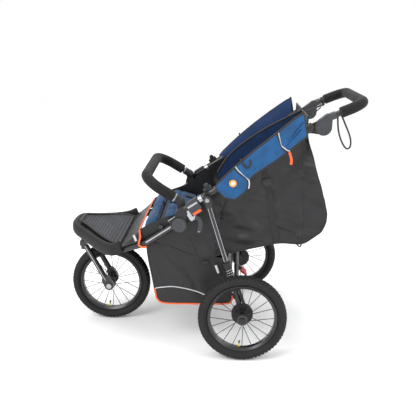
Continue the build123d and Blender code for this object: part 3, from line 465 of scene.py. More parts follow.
# Pebbled EVA foam of the grip and bumper sleeve.
FOAM = Cellular("pebbled_eva_foam", "121214", "080809", 0.78, 0.06, ior=1.38, sheen=0.05, cell_mm=3.6,
                grain_mm=1.6, relief=0.55)
# 600 denier polyester, dyed blue; thread pairs drawn coarser than life so that they show.
BLUE = Woven("woven_polyester_blue", "1c5688", "123a60", 0.75, 0.06, ior=1.36, sheen=0.1,
             space=Space.CLOTH, mottle_mm=45, thread_mm=2.6, grain_mm=0.8, relief=0.35)
# Darker copy of the same blue for the pads inside the seats: painted shade.
BLUE_SHADED = Woven("woven_polyester_blue_shaded", "184770", "102d4a", 0.78, 0.06, ior=1.36, sheen=0.1,
                  mottle_mm=40, thread_mm=2.8, grain_mm=0.8, relief=0.35)
# Brushed liner cloth in navy: once for stuffed pads, once for sheets with cloth coordinates.
NAVY = Woven("brushed_liner_navy", "11305a", "0a1c38", 0.85, 0.05, ior=1.36, sheen=0.1, mottle_mm=35,
             thread_mm=3.0, grain_mm=0.9, relief=0.35)
NAVY_SHEET = replace(NAVY, name="brushed_liner_navy_sheet", space=Space.CLOTH)
# Coated black polyester of the sides and basket, with the sheen of a thin coating.
BLACK = Woven("coated_polyester_black", "18181b", "0c0c0e", 0.46, 0.08, ior=1.45, sheen=0.06,
              space=Space.CLOTH, mottle_mm=70, thread_mm=2.4, grain_mm=0.8, relief=0.28)
BLACK_SOFT = Woven("coated_polyester_black_padded", "161618", "0c0c0d", 0.7, 0.06, ior=1.4, sheen=0.08,
                   thread_mm=2.6, grain_mm=0.8, relief=0.3)
# Ribbed rubber-backed foot mat.
MAT = Banded("ribbed_foot_mat_grey", "46474c", "2b2c30", 0.66, 0.06, ior=1.42, space=Space.CLOTH,
             rib_mm=7.0, grain_mm=1.5, relief=0.4)
# Nylon webbing, ribbed across its length.
WEBBING = Banded("nylon_webbing_black", "18181a", "0a0a0b", 0.7, sheen=0.1, space=Space.CLOTH, rib_mm=2.4,
                 grain_mm=1.2, relief=0.6)
WEBBING_CORD = Banded("wrist_strap_webbing", "202022", "101011", 0.7, sheen=0.2, rib_mm=2.4, direction="Z",
                      grain_mm=1.0, relief=0.4)
# Bias binding, brown-black where it catches light.
BINDING = Banded("bias_binding_brown_black", "241e1b", "120f0e", 0.7, sheen=0.1, space=Space.CLOTH, rib_mm=1.8,
                 grain_mm=1.0, relief=0.5)
# Glass-bead reflective tape: pale grey, brighter where beads face the light.
TAPE = Cellular("glass_bead_reflective_tape", "d5d7d9", "a9abae", 0.34, 0.05, 0.35, cell_mm=1.6, grain_mm=0.8,
                relief=0.2)
WHITE = Finish("moulded_badge_white", "f2ece2", "d9cfc0", 0.4, 0.05, relief=0.05)
AMBER = Finish("moulded_badge_amber", "f5a24a", "dd8428", 0.4, 0.05, relief=0.05)
FLOOR = Finish("studio_floor_pale", "ffffff", "fcfcfc", 0.9, 0.02, grain_mm=4.0, mottle_mm=400, relief=0.01)


class Wardrobe:
    """Makes each finish once and hands it to pieces and CAD nodes."""

    def __init__(self) -> None:
        """Starts empty."""
        self.made: dict[str, bpy.types.Material] = {}

    def of(self, finish: Finish) -> bpy.types.Material:
        """The finish's material."""
        if finish.name not in self.made:
            self.made[finish.name] = finish.material()
        return self.made[finish.name]

    def dress(self, obj: bpy.types.Object, finish: Finish) -> bpy.types.Object:
        """Gives an object this finish only."""
        obj.data.materials.clear()
        obj.data.materials.append(self.of(finish))
        for poly in obj.data.polygons if hasattr(obj.data, "polygons") else ():
            poly.material_index = 0
        return obj

    def nodes(self, finish: Finish, *names: str) -> None:
        """Gives CAD nodes this finish."""
        for name in names:
            self.dress(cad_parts[name], finish)


WARDROBE = Wardrobe()


def fit(obj: bpy.types.Object, finish: Finish, body: str, slot: str, *replaced: str) -> bpy.types.Object:
    """Dresses a new piece, puts it on its body and logs it.

    Args:
        obj: The piece.
        finish: Its finish.
        body: CAD body that it rides.
        slot: Record's material slot; not used.
        replaced: CAD nodes that it stands for.
    Returns:
        The piece.
    """
    WARDROBE.dress(obj, finish)
    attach(obj, body)
    if replaced:
        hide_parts(*replaced)
    LOG.info("%s rides %s", obj.name, body)
    return obj


@dataclass(frozen=True)
class Strip:
    """Round or flat trim that follows a line: corners and lift in mm, size in metres.

    A size of one number is a rope's radius, and one of two is a ribbon's width and thickness.
    """

    name: str
    points: Pairs
    count: int
    lift: float
    size: tuple
    finish: Finish
    slot: str
    smooth: bool = True
    body: str = "front_frame"

    def piece(self, suffix: str, path: np.ndarray) -> bpy.types.Object:
        """The trim along this path in metres."""
        shape = rope if len(self.size) == 1 else ribbon
        return shape(f"{self.name}_{suffix}", path, *self.size)


def cut(obj: bpy.types.Object, grid: np.ndarray, held: str, rests_on: Sequence[str]) -> None:
    """Measures a sheet that no simulation has stretched, so its cut is its own grid.

    The flat size is the longest row by the longest column; nothing is kept.

    Args:
        obj: The cloth piece; not used.
        grid: Its middle surface in metres.
        held: How it is held; not used.
        rests_on: What holds it.
    """
    length = np.linalg.norm(np.diff(grid, axis=0), axis=-1).sum(0).max()
    width = np.linalg.norm(np.diff(grid, axis=1), axis=-1).sum(1).max()
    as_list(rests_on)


def puff(obj: bpy.types.Object, voxel: float, cap: float) -> bpy.types.Object:
    """Swells a closed mesh like a stuffed pad.

    Voxel remesh, then 20 frames of Cloth with pressure 4 and no gravity; each point's move
    is limited to the cap.

    Args:
        obj: Closed mesh in place.
        voxel: Remesh size.
        cap: Largest move of a point.
    Returns:
        The object with its swollen mesh and one subdivision.
    """
    remesh = obj.modifiers.new("remesh", "REMESH")
    remesh.mode = "VOXEL"
    remesh.voxel_size = voxel
    bake(obj)
    start = coordinates(obj)
    cloth = obj.modifiers.new("cloth", "CLOTH")
    cloth.settings.use_pressure = True
    cloth.settings.uniform_pressure_force = 4.0
    cloth.settings.effector_weights.gravity = 0.0
    cloth.settings.quality = 4
    cloth.settings.tension_stiffness = 12.0
    cloth.settings.compression_stiffness = 12.0
    cloth.point_cache.frame_start, cloth.point_cache.frame_end = 1, 20
    for step in range(1, 21):
        bpy.context.scene.frame_set(step)
    bake(obj)
    bpy.context.scene.frame_set(1)
    move = coordinates(obj) - start
    size = np.linalg.norm(move, axis=1, keepdims=True)
    place(obj, start + move * np.minimum(1.0, cap / np.maximum(size, 1e-9)))
    obj.data.shade_smooth()
    level = obj.modifiers.new("round", "SUBSURF")
    level.levels = level.render_levels = 1
    return obj


def bake(obj: bpy.types.Object) -> None:
    """Puts what the modifiers give into the mesh and removes them."""
    shown = obj.evaluated_get(bpy.context.evaluated_depsgraph_get())
    obj.data = bpy.data.meshes.new_from_object(shown)
    obj.modifiers.clear()


def coordinates(obj: bpy.types.Object) -> np.ndarray:
    """The mesh's points."""
    flat = np.zeros(len(obj.data.vertices) * 3)
    obj.data.vertices.foreach_get("co", flat)
    return flat.reshape(-1, 3)


def place(obj: bpy.types.Object, points: np.ndarray) -> None:
    """Moves the mesh's points."""
    obj.data.vertices.foreach_set("co", points.ravel())
    obj.data.update()


def slab(name: str, corners: Pairs, x0: float, x1: float, inset: float) -> bpy.types.Object:
    """Cushion blank in mm: a four-cornered side outline between two x values.

    Sides draw in between corners: the half width shrinks by inset * (1 - s * s) at share s.
    """
    low, high = line(corners[:2], 24, False), line((corners[3], corners[2]), 24, False)
    mid, half = (low + high) / 2, (high - low) / 2
    t = np.linspace(0, 2 * math.pi, 40, endpoint=False)
    across = np.sign(np.cos(t)) * np.abs(np.cos(t)) ** 0.35
    lift = np.sign(np.sin(t)) * np.abs(np.sin(t)) ** 0.55
    s = np.linspace(-1, 1, 24)
    ends = np.clip(1 - np.abs(s) ** 10 * 0.55, 0, 1)
    half_x = (x1 - x0) / 2 - inset * (1 - s ** 2) * 0.6
    x = (x0 + x1) / 2 + half_x[:, None] * across
    yz = mid[:, None] + half[:, None] * (lift[None] * ends[:, None])[..., None]
    return build(name, np.concatenate([x[..., None], yz], -1) * MM, wrap_cols=True, caps=True)


# ------------------------------------------------------------------ studio

@dataclass
class Studio:
    """Pale floor, soft light and camera."""

    eye: tuple = (2.4046, 0.0860, 1.1192)
    aim: tuple = (0.0, -0.0067, 0.4584)
    lens: float = 56.08
    floor_half: float = 9.0
    floor_z: float = -0.0005
    lights: tuple = (("key", (2.2, -1.6, 2.6), 1.8, 62.0), ("fill", (1.6, 2.4, 1.6), 2.0, 28.0),
                     ("top", (-0.4, 0.0, 3.0), 2.4, 40.0))

    def build(self) -> None:
        """Makes floor, world, lights and camera."""
        reach = np.linspace(-self.floor_half, self.floor_half, 3)
        grid = np.stack(np.meshgrid(reach, reach, [self.floor_z], indexing="ij"), -1)
        floor = build("studio_floor", grid[:, :, 0])
        if floor.data.polygons[0].normal.z < 0:
            floor.data.flip_normals()
        WARDROBE.dress(floor, FLOOR)
        scene = bpy.context.scene
        world = bpy.data.worlds.new("studio_world")
        world.use_nodes = True
        world.node_tree.nodes["Background"].inputs[0].default_value = linear("ffffff")
        world.node_tree.nodes["Background"].inputs[1].default_value = 1.0
        scene.world = world
        scene.view_settings.view_transform = "Standard"
        for name, spot, size, power in self.lights:
            light = bpy.data.lights.new(name, "AREA")
            light.size, light.energy = size, power
            lamp = bpy.data.objects.new(name, light)
            scene.collection.objects.link(lamp)
            self.point(lamp, spot)
        cam = bpy.data.cameras.new("camera")
        cam.lens, cam.sensor_width = self.lens, 36.0
        holder = bpy.data.objects.new("camera", cam)
        scene.collection.objects.link(holder)
        self.point(holder, self.eye)
        scene.camera = holder

    def point(self, obj: bpy.types.Object, spot: Sequence[float]) -> None:
        """Puts an object at spot, looking at the stroller."""
        obj.location = spot
        obj.rotation_euler = (Vector(self.aim) - Vector(spot)).to_track_quat("-Z", "Y").to_euler()


# ------------------------------------------------------------------ wheels

@dataclass
class Wheel:
    """Treaded tyre, valve and hub trim of one 12 1/2 inch wheel."""

    name: str
    centre: tuple
    body: str
    hub_half_mm: float
    radius_mm: float = 155.0
    seat_mm: float = 121.0
    half_mm: float = 23.0
    blocks: int = 66
    groove_mm: float = 3.4
    centre_row_mm: float = 6.5
    valve_angle: float = math.radians(186)
    valve_foot: float = 0.1105

    def tyre(self) -> bpy.types.Object:
        """Tyre surface: a closed section turned about the axle, sunk by the grooves.

        A groove is a smooth square wave of the angle times the block count, shifted half a
        block on the shoulders and leaned by x, plus two rings beside the centre row.
        """
        share = [(0.36, 0.0), (0.62, 0.10), (0.93, 0.32), (1.0, 0.52), (0.95, 0.72), (0.82, 0.85),
                 (0.55, 0.95), (0.28, 0.99)]
        right = [(self.half_mm * a, self.seat_mm + (self.radius_mm - self.seat_mm) * b) for a, b in share]
        loop = right + [(0.0, self.radius_mm)] + [(-x, r) for x, r in reversed(right)]
        section = line(loop, 64, closed=True)
        x, r = section[:, 0][None], section[:, 1][None]
        turn = np.linspace(0, 2 * math.pi, self.blocks * 9, endpoint=False)[:, None]
        row = (np.abs(x) > self.centre_row_mm).astype(float)
        wave = np.sin(turn * self.blocks + row * math.pi + np.abs(x) * 0.10)
        cut = smoothstep(wave, -0.75, -0.35)
        rings = 1 - 0.8 * np.exp(-((np.abs(x) - self.centre_row_mm) / 1.6) ** 2)
        tread = smoothstep(r, self.radius_mm - 9, self.radius_mm - 4.5)
        lugs = smoothstep(r, self.radius_mm - 14, self.radius_mm - 9) * (1 - tread)
        depth = self.groove_mm * (tread * (1 - cut * rings) + 0.45 * lugs * (1 - cut))
        r = r - depth
        y, z = r * np.sin(turn), r * np.cos(turn)
        grid = np.stack([np.broadcast_to(x, y.shape), y, z], -1) * MM + np.asarray(self.centre)
        return build(f"{self.name}_tyre_treaded", grid, wrap_rows=True, wrap_cols=True, sharp=70)

    def build(self) -> None:
        """Makes the tyre, a valve near the bottom of the rim and both hub caps."""
        fit(self.tyre(), RUBBER, self.body, "tyre", f"{self.name}_tyre")
        WARDROBE.nodes(RIM, f"{self.name}_rim")
        WARDROBE.nodes(SPOKE, f"{self.name}_spokes")
        WARDROBE.nodes(NYLON, f"{self.name}_hub")
        out = np.array([0.0, math.sin(self.valve_angle), math.cos(self.valve_angle)])
        base = np.asarray(self.centre) + out * self.valve_foot
        for key, profile, finish, slot in (
                ("stem", [(0, 2.6), (1, 3.4), (3, 3.4), (4, 2.2), (14, 2.2), (14.4, 1.8)], YELLOW,
                 "orange_plastic"),
                ("cap", [(13.5, 2.4), (14, 2.9), (22, 2.9), (23.4, 2.0)], NYLON, "black_plastic")):
            fit(lathe(f"{self.name}_valve_{key}", profile, base, -out, 14), finish, self.body, slot)
        for end in (1, -1):
            half = self.hub_half_mm
            flange = lathe(f"{self.name}_hub_ring_{'a' if end > 0 else 'b'}",
                           [(half - 6.6, 14.0), (half - 6.2, 17.5), (half - 1.5, 17.0), (half - 0.4, 15.4),
                            (half - 0.2, 13.2)], self.centre, (end, 0, 0), 40)
            fit(flange, NYLON_GREY, self.body, "black_hub")


# ------------------------------------------------------------------ chassis

@dataclass
class Chassis:
    """Finishes of the tubes and joints, and the small trim on them."""

    tube_x: float = 263.0
    fold: tuple = (-95.0, 472.0)
    slope: float = math.radians(33.0)
    # Bright silver strips along the flange, lock housing, hinge housing and front tube: painted highlights.
    strips: tuple = (
        Strip("flange_edge", ((38.2, -13), (38.2, 45)), 8, 251.2, (0.0032, 0.0022), SILVER_HIGHLIGHT, "steel", False),
        Strip("lock_highlight", ((59, 36), (97, 36)), 8, 279.3, (0.007, 0.0014), SILVER_HIGHLIGHT, "steel", False,
              "upper_frame"),
        Strip("housing_edge", ((-31, 27.6), (33, 27.6)), 8, 249.5, (0.003, 0.003), SILVER_HIGHLIGHT, "steel", False),
        Strip("tube_strip_front", ((-142, 4), (-36, 4)), 8, 247.6, (0.0042, 0.0012), SILVER_HIGHLIGHT, "steel", False))
    turned: tuple = (
        ("hinge_disc", (0, 0, 282.0), ((0, 21.5), (1.0, 20.6), (1.0, 9), (1.8, 8.4), (1.8, 0.5)), 48,
         NYLON_GREY, "front_frame", "grey_plastic"),
        ("leg_bolt", (133, 27, 301.2), ((0, 7.5), (2.0, 7.0), (3.0, 5.2), (3.0, 2.2), (1.6, 2.0), (1.6, 0.4)),
         24, ZINC, "upper_frame", "steel"),
        ("handle_boss", (588, 14, 224.1), ((0, 23), (1.2, 22), (1.2, 10), (2.2, 9), (2.2, 0.5)), 48,
         NYLON_GREY, "handlebar", "grey_plastic"))

    def on_frame(self, u: float, v: float) -> tuple[float, float]:
        """(y, z) in mm, u along and v above the front tube's axis, from the fold pivot."""
        c, s = math.cos(self.slope), math.sin(self.slope)
        return self.fold[0] + u * c - v * s, self.fold[1] + u * s + v * c

    def spot(self, u: float, v: float, x: float, side: float) -> tuple[float, float, float]:
        """Point in metres at (u, v) on the frame and x mm out on one side."""
        y, z = self.on_frame(u, v)
        return side * x * MM, y * MM, z * MM

    def build(self) -> None:
        """Dresses the CAD nodes and adds trim."""
        WARDROBE.nodes(POWDER, "front_frame_tube", "seat_frame", "fork_legs", "fork_crown",
                       "upper_frame_tubes", "handle_tube", "bumper_tube", "rear_leg_tubes",
                       "rear_cross_tube", "lower_stays", "steering_head", "leg_brackets")
        WARDROBE.nodes(NYLON, "hinge_housings", "bumper_sockets", "tube_brackets", "handle_knuckles",
                       "spring_caps", "hub_carrier_left", "hub_carrier_right", "brake_lever_clamp",
                       "brake_lever", "brake_cable", "seat_deck")
        WARDROBE.nodes(NYLON_GREY, "hinge_caps", "lock_housings", "handle_discs")
        WARDROBE.nodes(ZINC, "hinge_pins", "front_axle", "spring_left", "spring_right")
        WARDROBE.nodes(ORANGE, "fold_lock_left", "fold_lock_right")
        WARDROBE.nodes(RED, "brake_pedal")
        WARDROBE.nodes(FOAM, "handle_grip", "bumper_sleeve")
        for name, side in SIDES.items():
            self.trim(name, side)

    def trim(self, name: str, side: float) -> None:
        """Bright edges as painted highlights, and clips, straps and screws on one side."""
        up = (0.0, -math.sin(self.slope), math.cos(self.slope))
        along = (0.0, math.cos(self.slope), math.sin(self.slope))
        for strip in self.strips:
            path = line([self.on_frame(*point) for point in strip.points], strip.count, strip.smooth)
            fit(strip.piece(name, at_side(path, strip.lift, side)), strip.finish, strip.body, strip.slot)
        # A bright silver plate beside the flange: painted highlight.
        fit(block(f"clamp_highlight_plate_{name}", self.spot(53, 16, 266.4, side), (0.0136, 0.0024, 0.030), along, up),
            SILVER_HIGHLIGHT, "upper_frame", "steel")
        # A bright silver band round the black upper tube: painted highlight.
        fit(lathe(f"tube_highlight_band_{name}", [(0, 12.2), (0.6, 12.8), (13.4, 12.8), (14, 12.2)],
                  self.spot(104, 36, self.tube_x, side), along, 40), SILVER_HIGHLIGHT, "upper_frame", "steel")
        # A bright silver line down each fork blade: painted highlight.
        blade = line([(-478, 318), (-404, 178)], 8, False)
        fit(ribbon(f"fork_line_{name}", at_side(blade, 60.8, side), 0.0024, 0.0010), SILVER_HIGHLIGHT, "fork", "steel")
        for key, where, profile, count, finish, body, slot in self.turned:
            fit(lathe(f"{key}_{name}", profile, self.spot(*where, side), (side, 0, 0), count), finish, body,
                slot)
        # Hood clip: a post with a round knob, for a hood that isn't fitted.
        foot = self.on_frame(150, 50)
        clip = block(f"hood_clip_{name}", self.spot(150, 50, self.tube_x, side), (0.016, 0.008, 0.010), along,
                     up)
        knob = lathe(f"hood_knob_{name}", [(-9, 3), (-8, 8), (-2, 9), (8, 8.5), (10, 6)],
                     (side * 0.262, (foot[0] - 6) * MM, (foot[1] + 13) * MM), (1, 0, 0), 24)
        fit(join(f"hood_clip_{name}", [clip, knob]), NYLON, "upper_frame", "black_plastic")
        # Pull strap that hangs from the fold lock.
        hang = line([(-40, 500), (-27, 493), (-22, 478), (-24, 460), (-29, 444)], 24)
        fit(ribbon(f"pull_strap_{name}", at_side(hang, 270.5, side), 0.0145, 0.0030), NYLON_GREY,
            "upper_frame", "webbing")
        fit(lathe(f"pull_rivet_{name}", [(0, 3.2), (1.0, 2.8), (1.6, 1.2)],
                  (side * 0.2722, -0.028, 0.449), (side, 0, 0), 16), ZINC, "upper_frame", "steel")
        # Painted highlights down the flattened rear leg: bright silver lines from its pivot, down its axis and
        # across to each edge.
        pivot, down_leg = np.array([1.84, 567.08]), np.array([0.286, -0.958])
        across = np.array([0.958, 0.286])
        for key, shift in (("front", -5.5), ("rear", 5.5)):
            a = pivot + down_leg * 30 + across * shift
            leg = line([a, a + down_leg * 196], 10, False)
            fit(ribbon(f"leg_edge_{key}_{name}", at_side(leg, 299.0, side), 0.0022, 0.0010), SILVER_HIGHLIGHT,
                "rear_legs", "steel")
        # Clip rings at the bumper's lower end; the first is bright silver, a painted highlight on the clip's
        # edge.
        down = (0.0, -math.cos(math.radians(31.5)), math.sin(math.radians(31.5)))
        for k, reach in enumerate((23.5, 31.0)):
            spot = (side * 0.229, (-93 + reach * down[1]) * MM, (545 + reach * down[2]) * MM)
            ring = lathe(f"bumper_ring_{k}_{name}", [(-2.2, 13.0), (-1.6, 16.4), (1.6, 16.4), (2.2, 13.0)],
                         spot, down, 32)
            fit(ring, SILVER_HIGHLIGHT if k == 0 else NYLON, "bumper", "steel")


# ------------------------------------------------------------------ side fabric

@dataclass
class SideFabric:
    """Black cloth from the front tube to the rear hem, with seams, folds and straps."""

    low: tuple = ((-246, 398), (-232, 388), (-180, 388), (-120, 362), (-60, 340), (-30, 331), (20, 343),
                  (60, 354), (120, 368), (190, 384), (265, 397), (327, 394), (362, 412), (396, 440),
                  (413, 478))
    high: tuple = ((-248, 404), (-244, 432), (-228, 446), (-180, 472), (-130, 490), (-96, 502), (-60, 534),
                   (-4, 572), (60, 614), (179, 691), (270, 750), (330, 788), (340, 778), (347, 750),
                   (368, 676), (401, 563), (413, 520))
    folds: tuple = (
        ((-4, 545), (40, 430), 9, 3.0), ((60, 520), (150, 470), 22, 5.0), ((72, 600), (48, 480), 4, -2.6),
        ((48, 480), (27, 405), 4, -2.6), ((150, 560), (235, 540), 16, 4.0), ((90, 470), (180, 455), 14, 3.6),
        ((240, 470), (318, 440), 10, 3.2), ((250, 500), (322, 486), 9, 3.0), ((262, 540), (325, 520), 8, 2.6),
        ((-70, 400), (0, 380), 10, 3.0), ((-150, 395), (-60, 372), 12, 3.0), ((-60, 430), (-10, 390), 9, 2.6),
        ((110, 410), (200, 420), 12, 3.0))
    fold_gain: float = 1.7
    rows: int = 190
    cols: int = 80
    inner_mm: float = 221.5
    outer_mm: float = 246.0
    strips: tuple = (
        Strip("side_hem", low, 120, 0.6, (0.0024,), BINDING, "black_fabric"),
        Strip("side_seam_0", ((72, 600), (60, 520), (48, 480), (27, 407)), 60, 1.4, (0.0034, 0.0014), BLACK,
              "black_fabric"),
        Strip("side_seam_1", ((320, 772), (327, 695), (333, 555), (334, 404)), 60, 1.4, (0.0034, 0.0014),
              BLACK, "black_fabric"),
        Strip("side_seam_2", ((-31, 334), (-46, 368), (-64, 410)), 60, 1.4, (0.0034, 0.0014), BLACK,
              "black_fabric"),
        Strip("recline_strap", ((190, 676), (197, 639), (208, 600), (218, 550), (226, 500), (235, 450),
                                (243, 404)), 60, 3.4, (0.022, 0.0018), WEBBING, "webbing"),
        Strip("recline_buckle", ((201, 629), (207, 605)), 6, 5.0, (0.030, 0.0050), NYLON, "black_plastic",
              False),
        Strip("hem_loop", ((314, 420), (330, 404), (326, 384), (312, 396)), 20, 3.0, (0.005, 0.0016), WEBBING,
              "webbing"))

    def offset(self, yz: np.ndarray) -> np.ndarray:
        """Distance from the middle plane: close to the seat low down, out to the tube at the top."""
        gap = np.hypot(yz[..., 0] + 95, yz[..., 1] - 472)
        under = yz[..., 1] - TUBE_Z - TUBE_RISE * (yz[..., 0] - TUBE_Y)
        rise = smoothstep(under, -140.0, -10.0)
        away = smoothstep(gap, 55.0, 150.0) * smoothstep(yz[..., 0], -60, 60)
        taper = TUBE_LEAN * np.maximum(yz[..., 0] - TUBE_BEND, 0) * smoothstep(under, -160, -20)
        free = away * (1 - 0.85 * smoothstep(under, -80, -25))
        x = self.inner_mm + (self.outer_mm - self.inner_mm) * (0.35 + 0.65 * rise) * away - taper
        x += 12.0 * free * ripples(yz, 4, 150) + 5.0 * free * ripples(yz, 8, 60)
        for a, b, width, depth in self.folds:
            x = x + self.fold_gain * depth * crease(yz, a, b, width) * np.clip(free + 0.2, 0, 1)
        return x

    def at(self, points: Pairs, side: float, count: int, lift: float, smooth: bool = True) -> np.ndarray:
        """A path on the cloth, lifted outwards by mm."""
        yz = line(points, count, smooth)
        return at_side(yz, self.offset(yz) + lift, side)

    def build(self) -> None:
        """Makes both sides with their hems, seams and straps."""
        for name, side in SIDES.items():
            yz = coons(self.low, self.high, self.rows, self.cols)
            cloth = sheet(f"side_cloth_{name}", at_side(yz, self.offset(yz), side), 0.0016)
            self.crossing(cloth, BLACK, "black_fabric")
            if side > 0:
                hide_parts("gussets", "side_panels")
            cut(cloth, at_side(yz, self.offset(yz), side), "stretched", ["upper_frame_tubes"])
            for strip in self.strips:
                path = self.at(strip.points, side, strip.count, strip.lift, strip.smooth)
                self.crossing(strip.piece(name, path), strip.finish, strip.slot)

    def crossing(self, obj: bpy.types.Object, finish: Finish, slot: str) -> None:
        """Cloth that crosses the fold pivot: dressed and baked in place, on no body."""
        WARDROBE.dress(obj, finish)
        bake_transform(obj)
        LOG.info("%s bends from front_frame to upper_frame", obj.name)


# ------------------------------------------------------------------ wings

@dataclass
class Wing:
    """Blue cloth wing outside the upper tube, its navy lining, binding and trim."""

    low: tuple = ((33, 602), (52, 580), (62, 572), (90, 566), (100, 569), (139, 604), (149, 642), (205, 683),
                  (270, 728), (332, 776))
    high: tuple = ((33, 614), (46, 630), (66, 650), (97, 680), (150, 727), (197, 765), (252, 808), (296, 841),
                   (318, 853))
    rows: int = 160
    cols: int = 36
    flat_mm: float = 278.4

    def offset(self, yz: np.ndarray, share: np.ndarray | float) -> np.ndarray:
        """Distance from the middle plane: puffed between the edges, leaning in behind the taper."""
        back = np.maximum(yz[..., 0] - 200, 0)
        x = self.flat_mm - TUBE_LEAN * back * back / (back + 12)
        x = x + 4.2 * np.sin(math.pi * np.clip(share, 0, 1)) ** 0.7
        x = x - 3.0 * crease(yz, (97, 676), (142, 632), 3.5) - 3.0 * crease(yz, (237, 788), (248, 745), 3.5)
        pleats = crease(yz, (262, 744), (312, 800), 3.6) + crease(yz, (268, 762), (316, 822), 3.6)
        x = x - 6.5 * pleats * smoothstep(yz[..., 0], 250, 275)
        x = x - 3.0 * crease(yz, (140, 650), (182, 692), 5) + 1.6 * ripples(yz, 9, 46)
        return x

    def at(self, points: Pairs, side: float, count: int, lift: float) -> np.ndarray:
        """A path on the puffed wing, lifted outwards by mm."""
        yz = line(points, count)
        return at_side(yz, self.offset(yz, 0.5) + lift, side)

    def build(self) -> None:
        """Makes both wings."""
        for name, side in SIDES.items():
            yz = coons(self.low, self.high, self.rows, self.cols)
            share = np.broadcast_to(np.linspace(0, 1, self.cols)[None], yz.shape[:2])
            x = self.offset(yz, share)
            outer = sheet(f"wing_{name}", at_side(yz, x, side), 0.0030)
            fit(outer, BLUE, "upper_frame", "blue_fabric")
            if side > 0:
                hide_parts("wings")
            cut(outer, at_side(yz, x, side), "stretched", ["upper_frame_tubes"])
            self.lining(name, side)
            self.edges(name, side)
            self.trim(name, side)

    def lining(self, name: str, side: float) -> None:
        """Navy lining: from the wing's top edge, in over the tube, down to the side cloth."""
        top = line(self.high, 120)
        y = top[:, 0]
        tube_z = TUBE_Z + TUBE_SIN * (y - TUBE_Y) / TUBE_COS
        tube_x = 263 - np.maximum(y - TUBE_BEND, 0) * TUBE_LEAN
        top_x = self.offset(top, 0.0) - 2.2
        t = np.linspace(0, 1, 26)[None]
        a = np.stack([top_x, y, top[:, 1]], -1)[:, None]
        b = np.stack([tube_x - 15.5, y + 2, tube_z + 20 + 0 * y], -1)[:, None]
        c = np.stack([tube_x - 18.0, y + 6, tube_z - 26 + 0 * y], -1)[:, None]
        w = t[..., None]
        grid = (a * (1 - w) ** 2 + b * 2 * w * (1 - w) + c * w ** 2)
        grid[..., 0] += 1.6 * ripples(grid[..., 1:], 21, 70)
        grid[..., 0] *= side
        inner = sheet(f"wing_lining_{name}", grid * MM, 0.0022)
        fit(inner, NAVY_SHEET, "upper_frame", "navy_fabric")
        cut(inner, grid * MM, "stretched", ["upper_frame_tubes"])

    def edges(self, name: str, side: float) -> None:
        """Bias binding round the whole wing."""
        low, high = line(self.low, 110), line(self.high, 110)
        loop = np.concatenate([low, high[::-1]])
        path = at_side(loop, self.offset(loop, 0.0), side)
        path = line(path / MM, 240, closed=True) * MM
        grid = carry(path, oval(0.0036, 0.0034, 12, 0.8), (1, 0, 0), True)
        fit(build(f"wing_binding_{name}", grid, wrap_rows=True, wrap_cols=True), BINDING, "upper_frame",
            "black_fabric")

    def trim(self, name: str, side: float) -> None:
        """Chevron pipings with a painted shadow band below each, badge, pocket loop and zip pull."""
        chevrons = {"front": ((96, 679), (104, 668), (122, 650), (140, 634), (143, 622), (141, 605)),
                    "rear": ((236, 792), (240, 776), (247, 752), (254, 744), (266, 734), (276, 730))}
        for key, points in chevrons.items():
            tape = ribbon(f"chevron_{key}_{name}", self.at(points, side, 50, 0.8), 0.0042, 0.0022)
            fit(tape, TAPE, "upper_frame", "black_fabric")
            # A dark binding band just below each chevron: painted shadow under the raised piping.
            shade = tuple((y - 4.5, z - 2.5) for y, z in points)
            band = ribbon(f"chevron_shadow_band_{key}_{name}", self.at(shade, side, 50, 0.4), 0.0055, 0.0024)
            fit(band, BINDING, "upper_frame", "black_fabric")
        for part, reach, tone, lift in (("rim", 12.5, AMBER, 7.6), ("face", 6.0, WHITE, 8.8)):
            profile = [(-1.6, reach - 0.8), (0, reach), (0.8, reach - 0.6), (1.1, 0.4)]
            badge = lathe(f"badge_{part}_{name}", profile,
                          (side * (self.flat_mm + lift) * MM, 0.088, 0.623), (side, 0, 0), 40)
            fit(badge, tone, "upper_frame", "orange_plastic")
        pocket = self.at([(112, 706), (118, 692), (134, 676), (146, 688), (144, 704)], side, 40, 2.4)
        fit(rope(f"pocket_loop_{name}", pocket, 0.0030), BINDING, "upper_frame", "webbing")
        pull = self.at([(275, 727), (280, 712), (283, 698), (282, 684)], side, 24, 3.0)
        pull[:, 0] -= side * np.linspace(0, 4, 24) * MM
        fit(ribbon(f"zip_pull_{name}", pull, 0.0085, 0.0040), ORANGE, "upper_frame", "orange_plastic")


# ------------------------------------------------------------------ back and divider

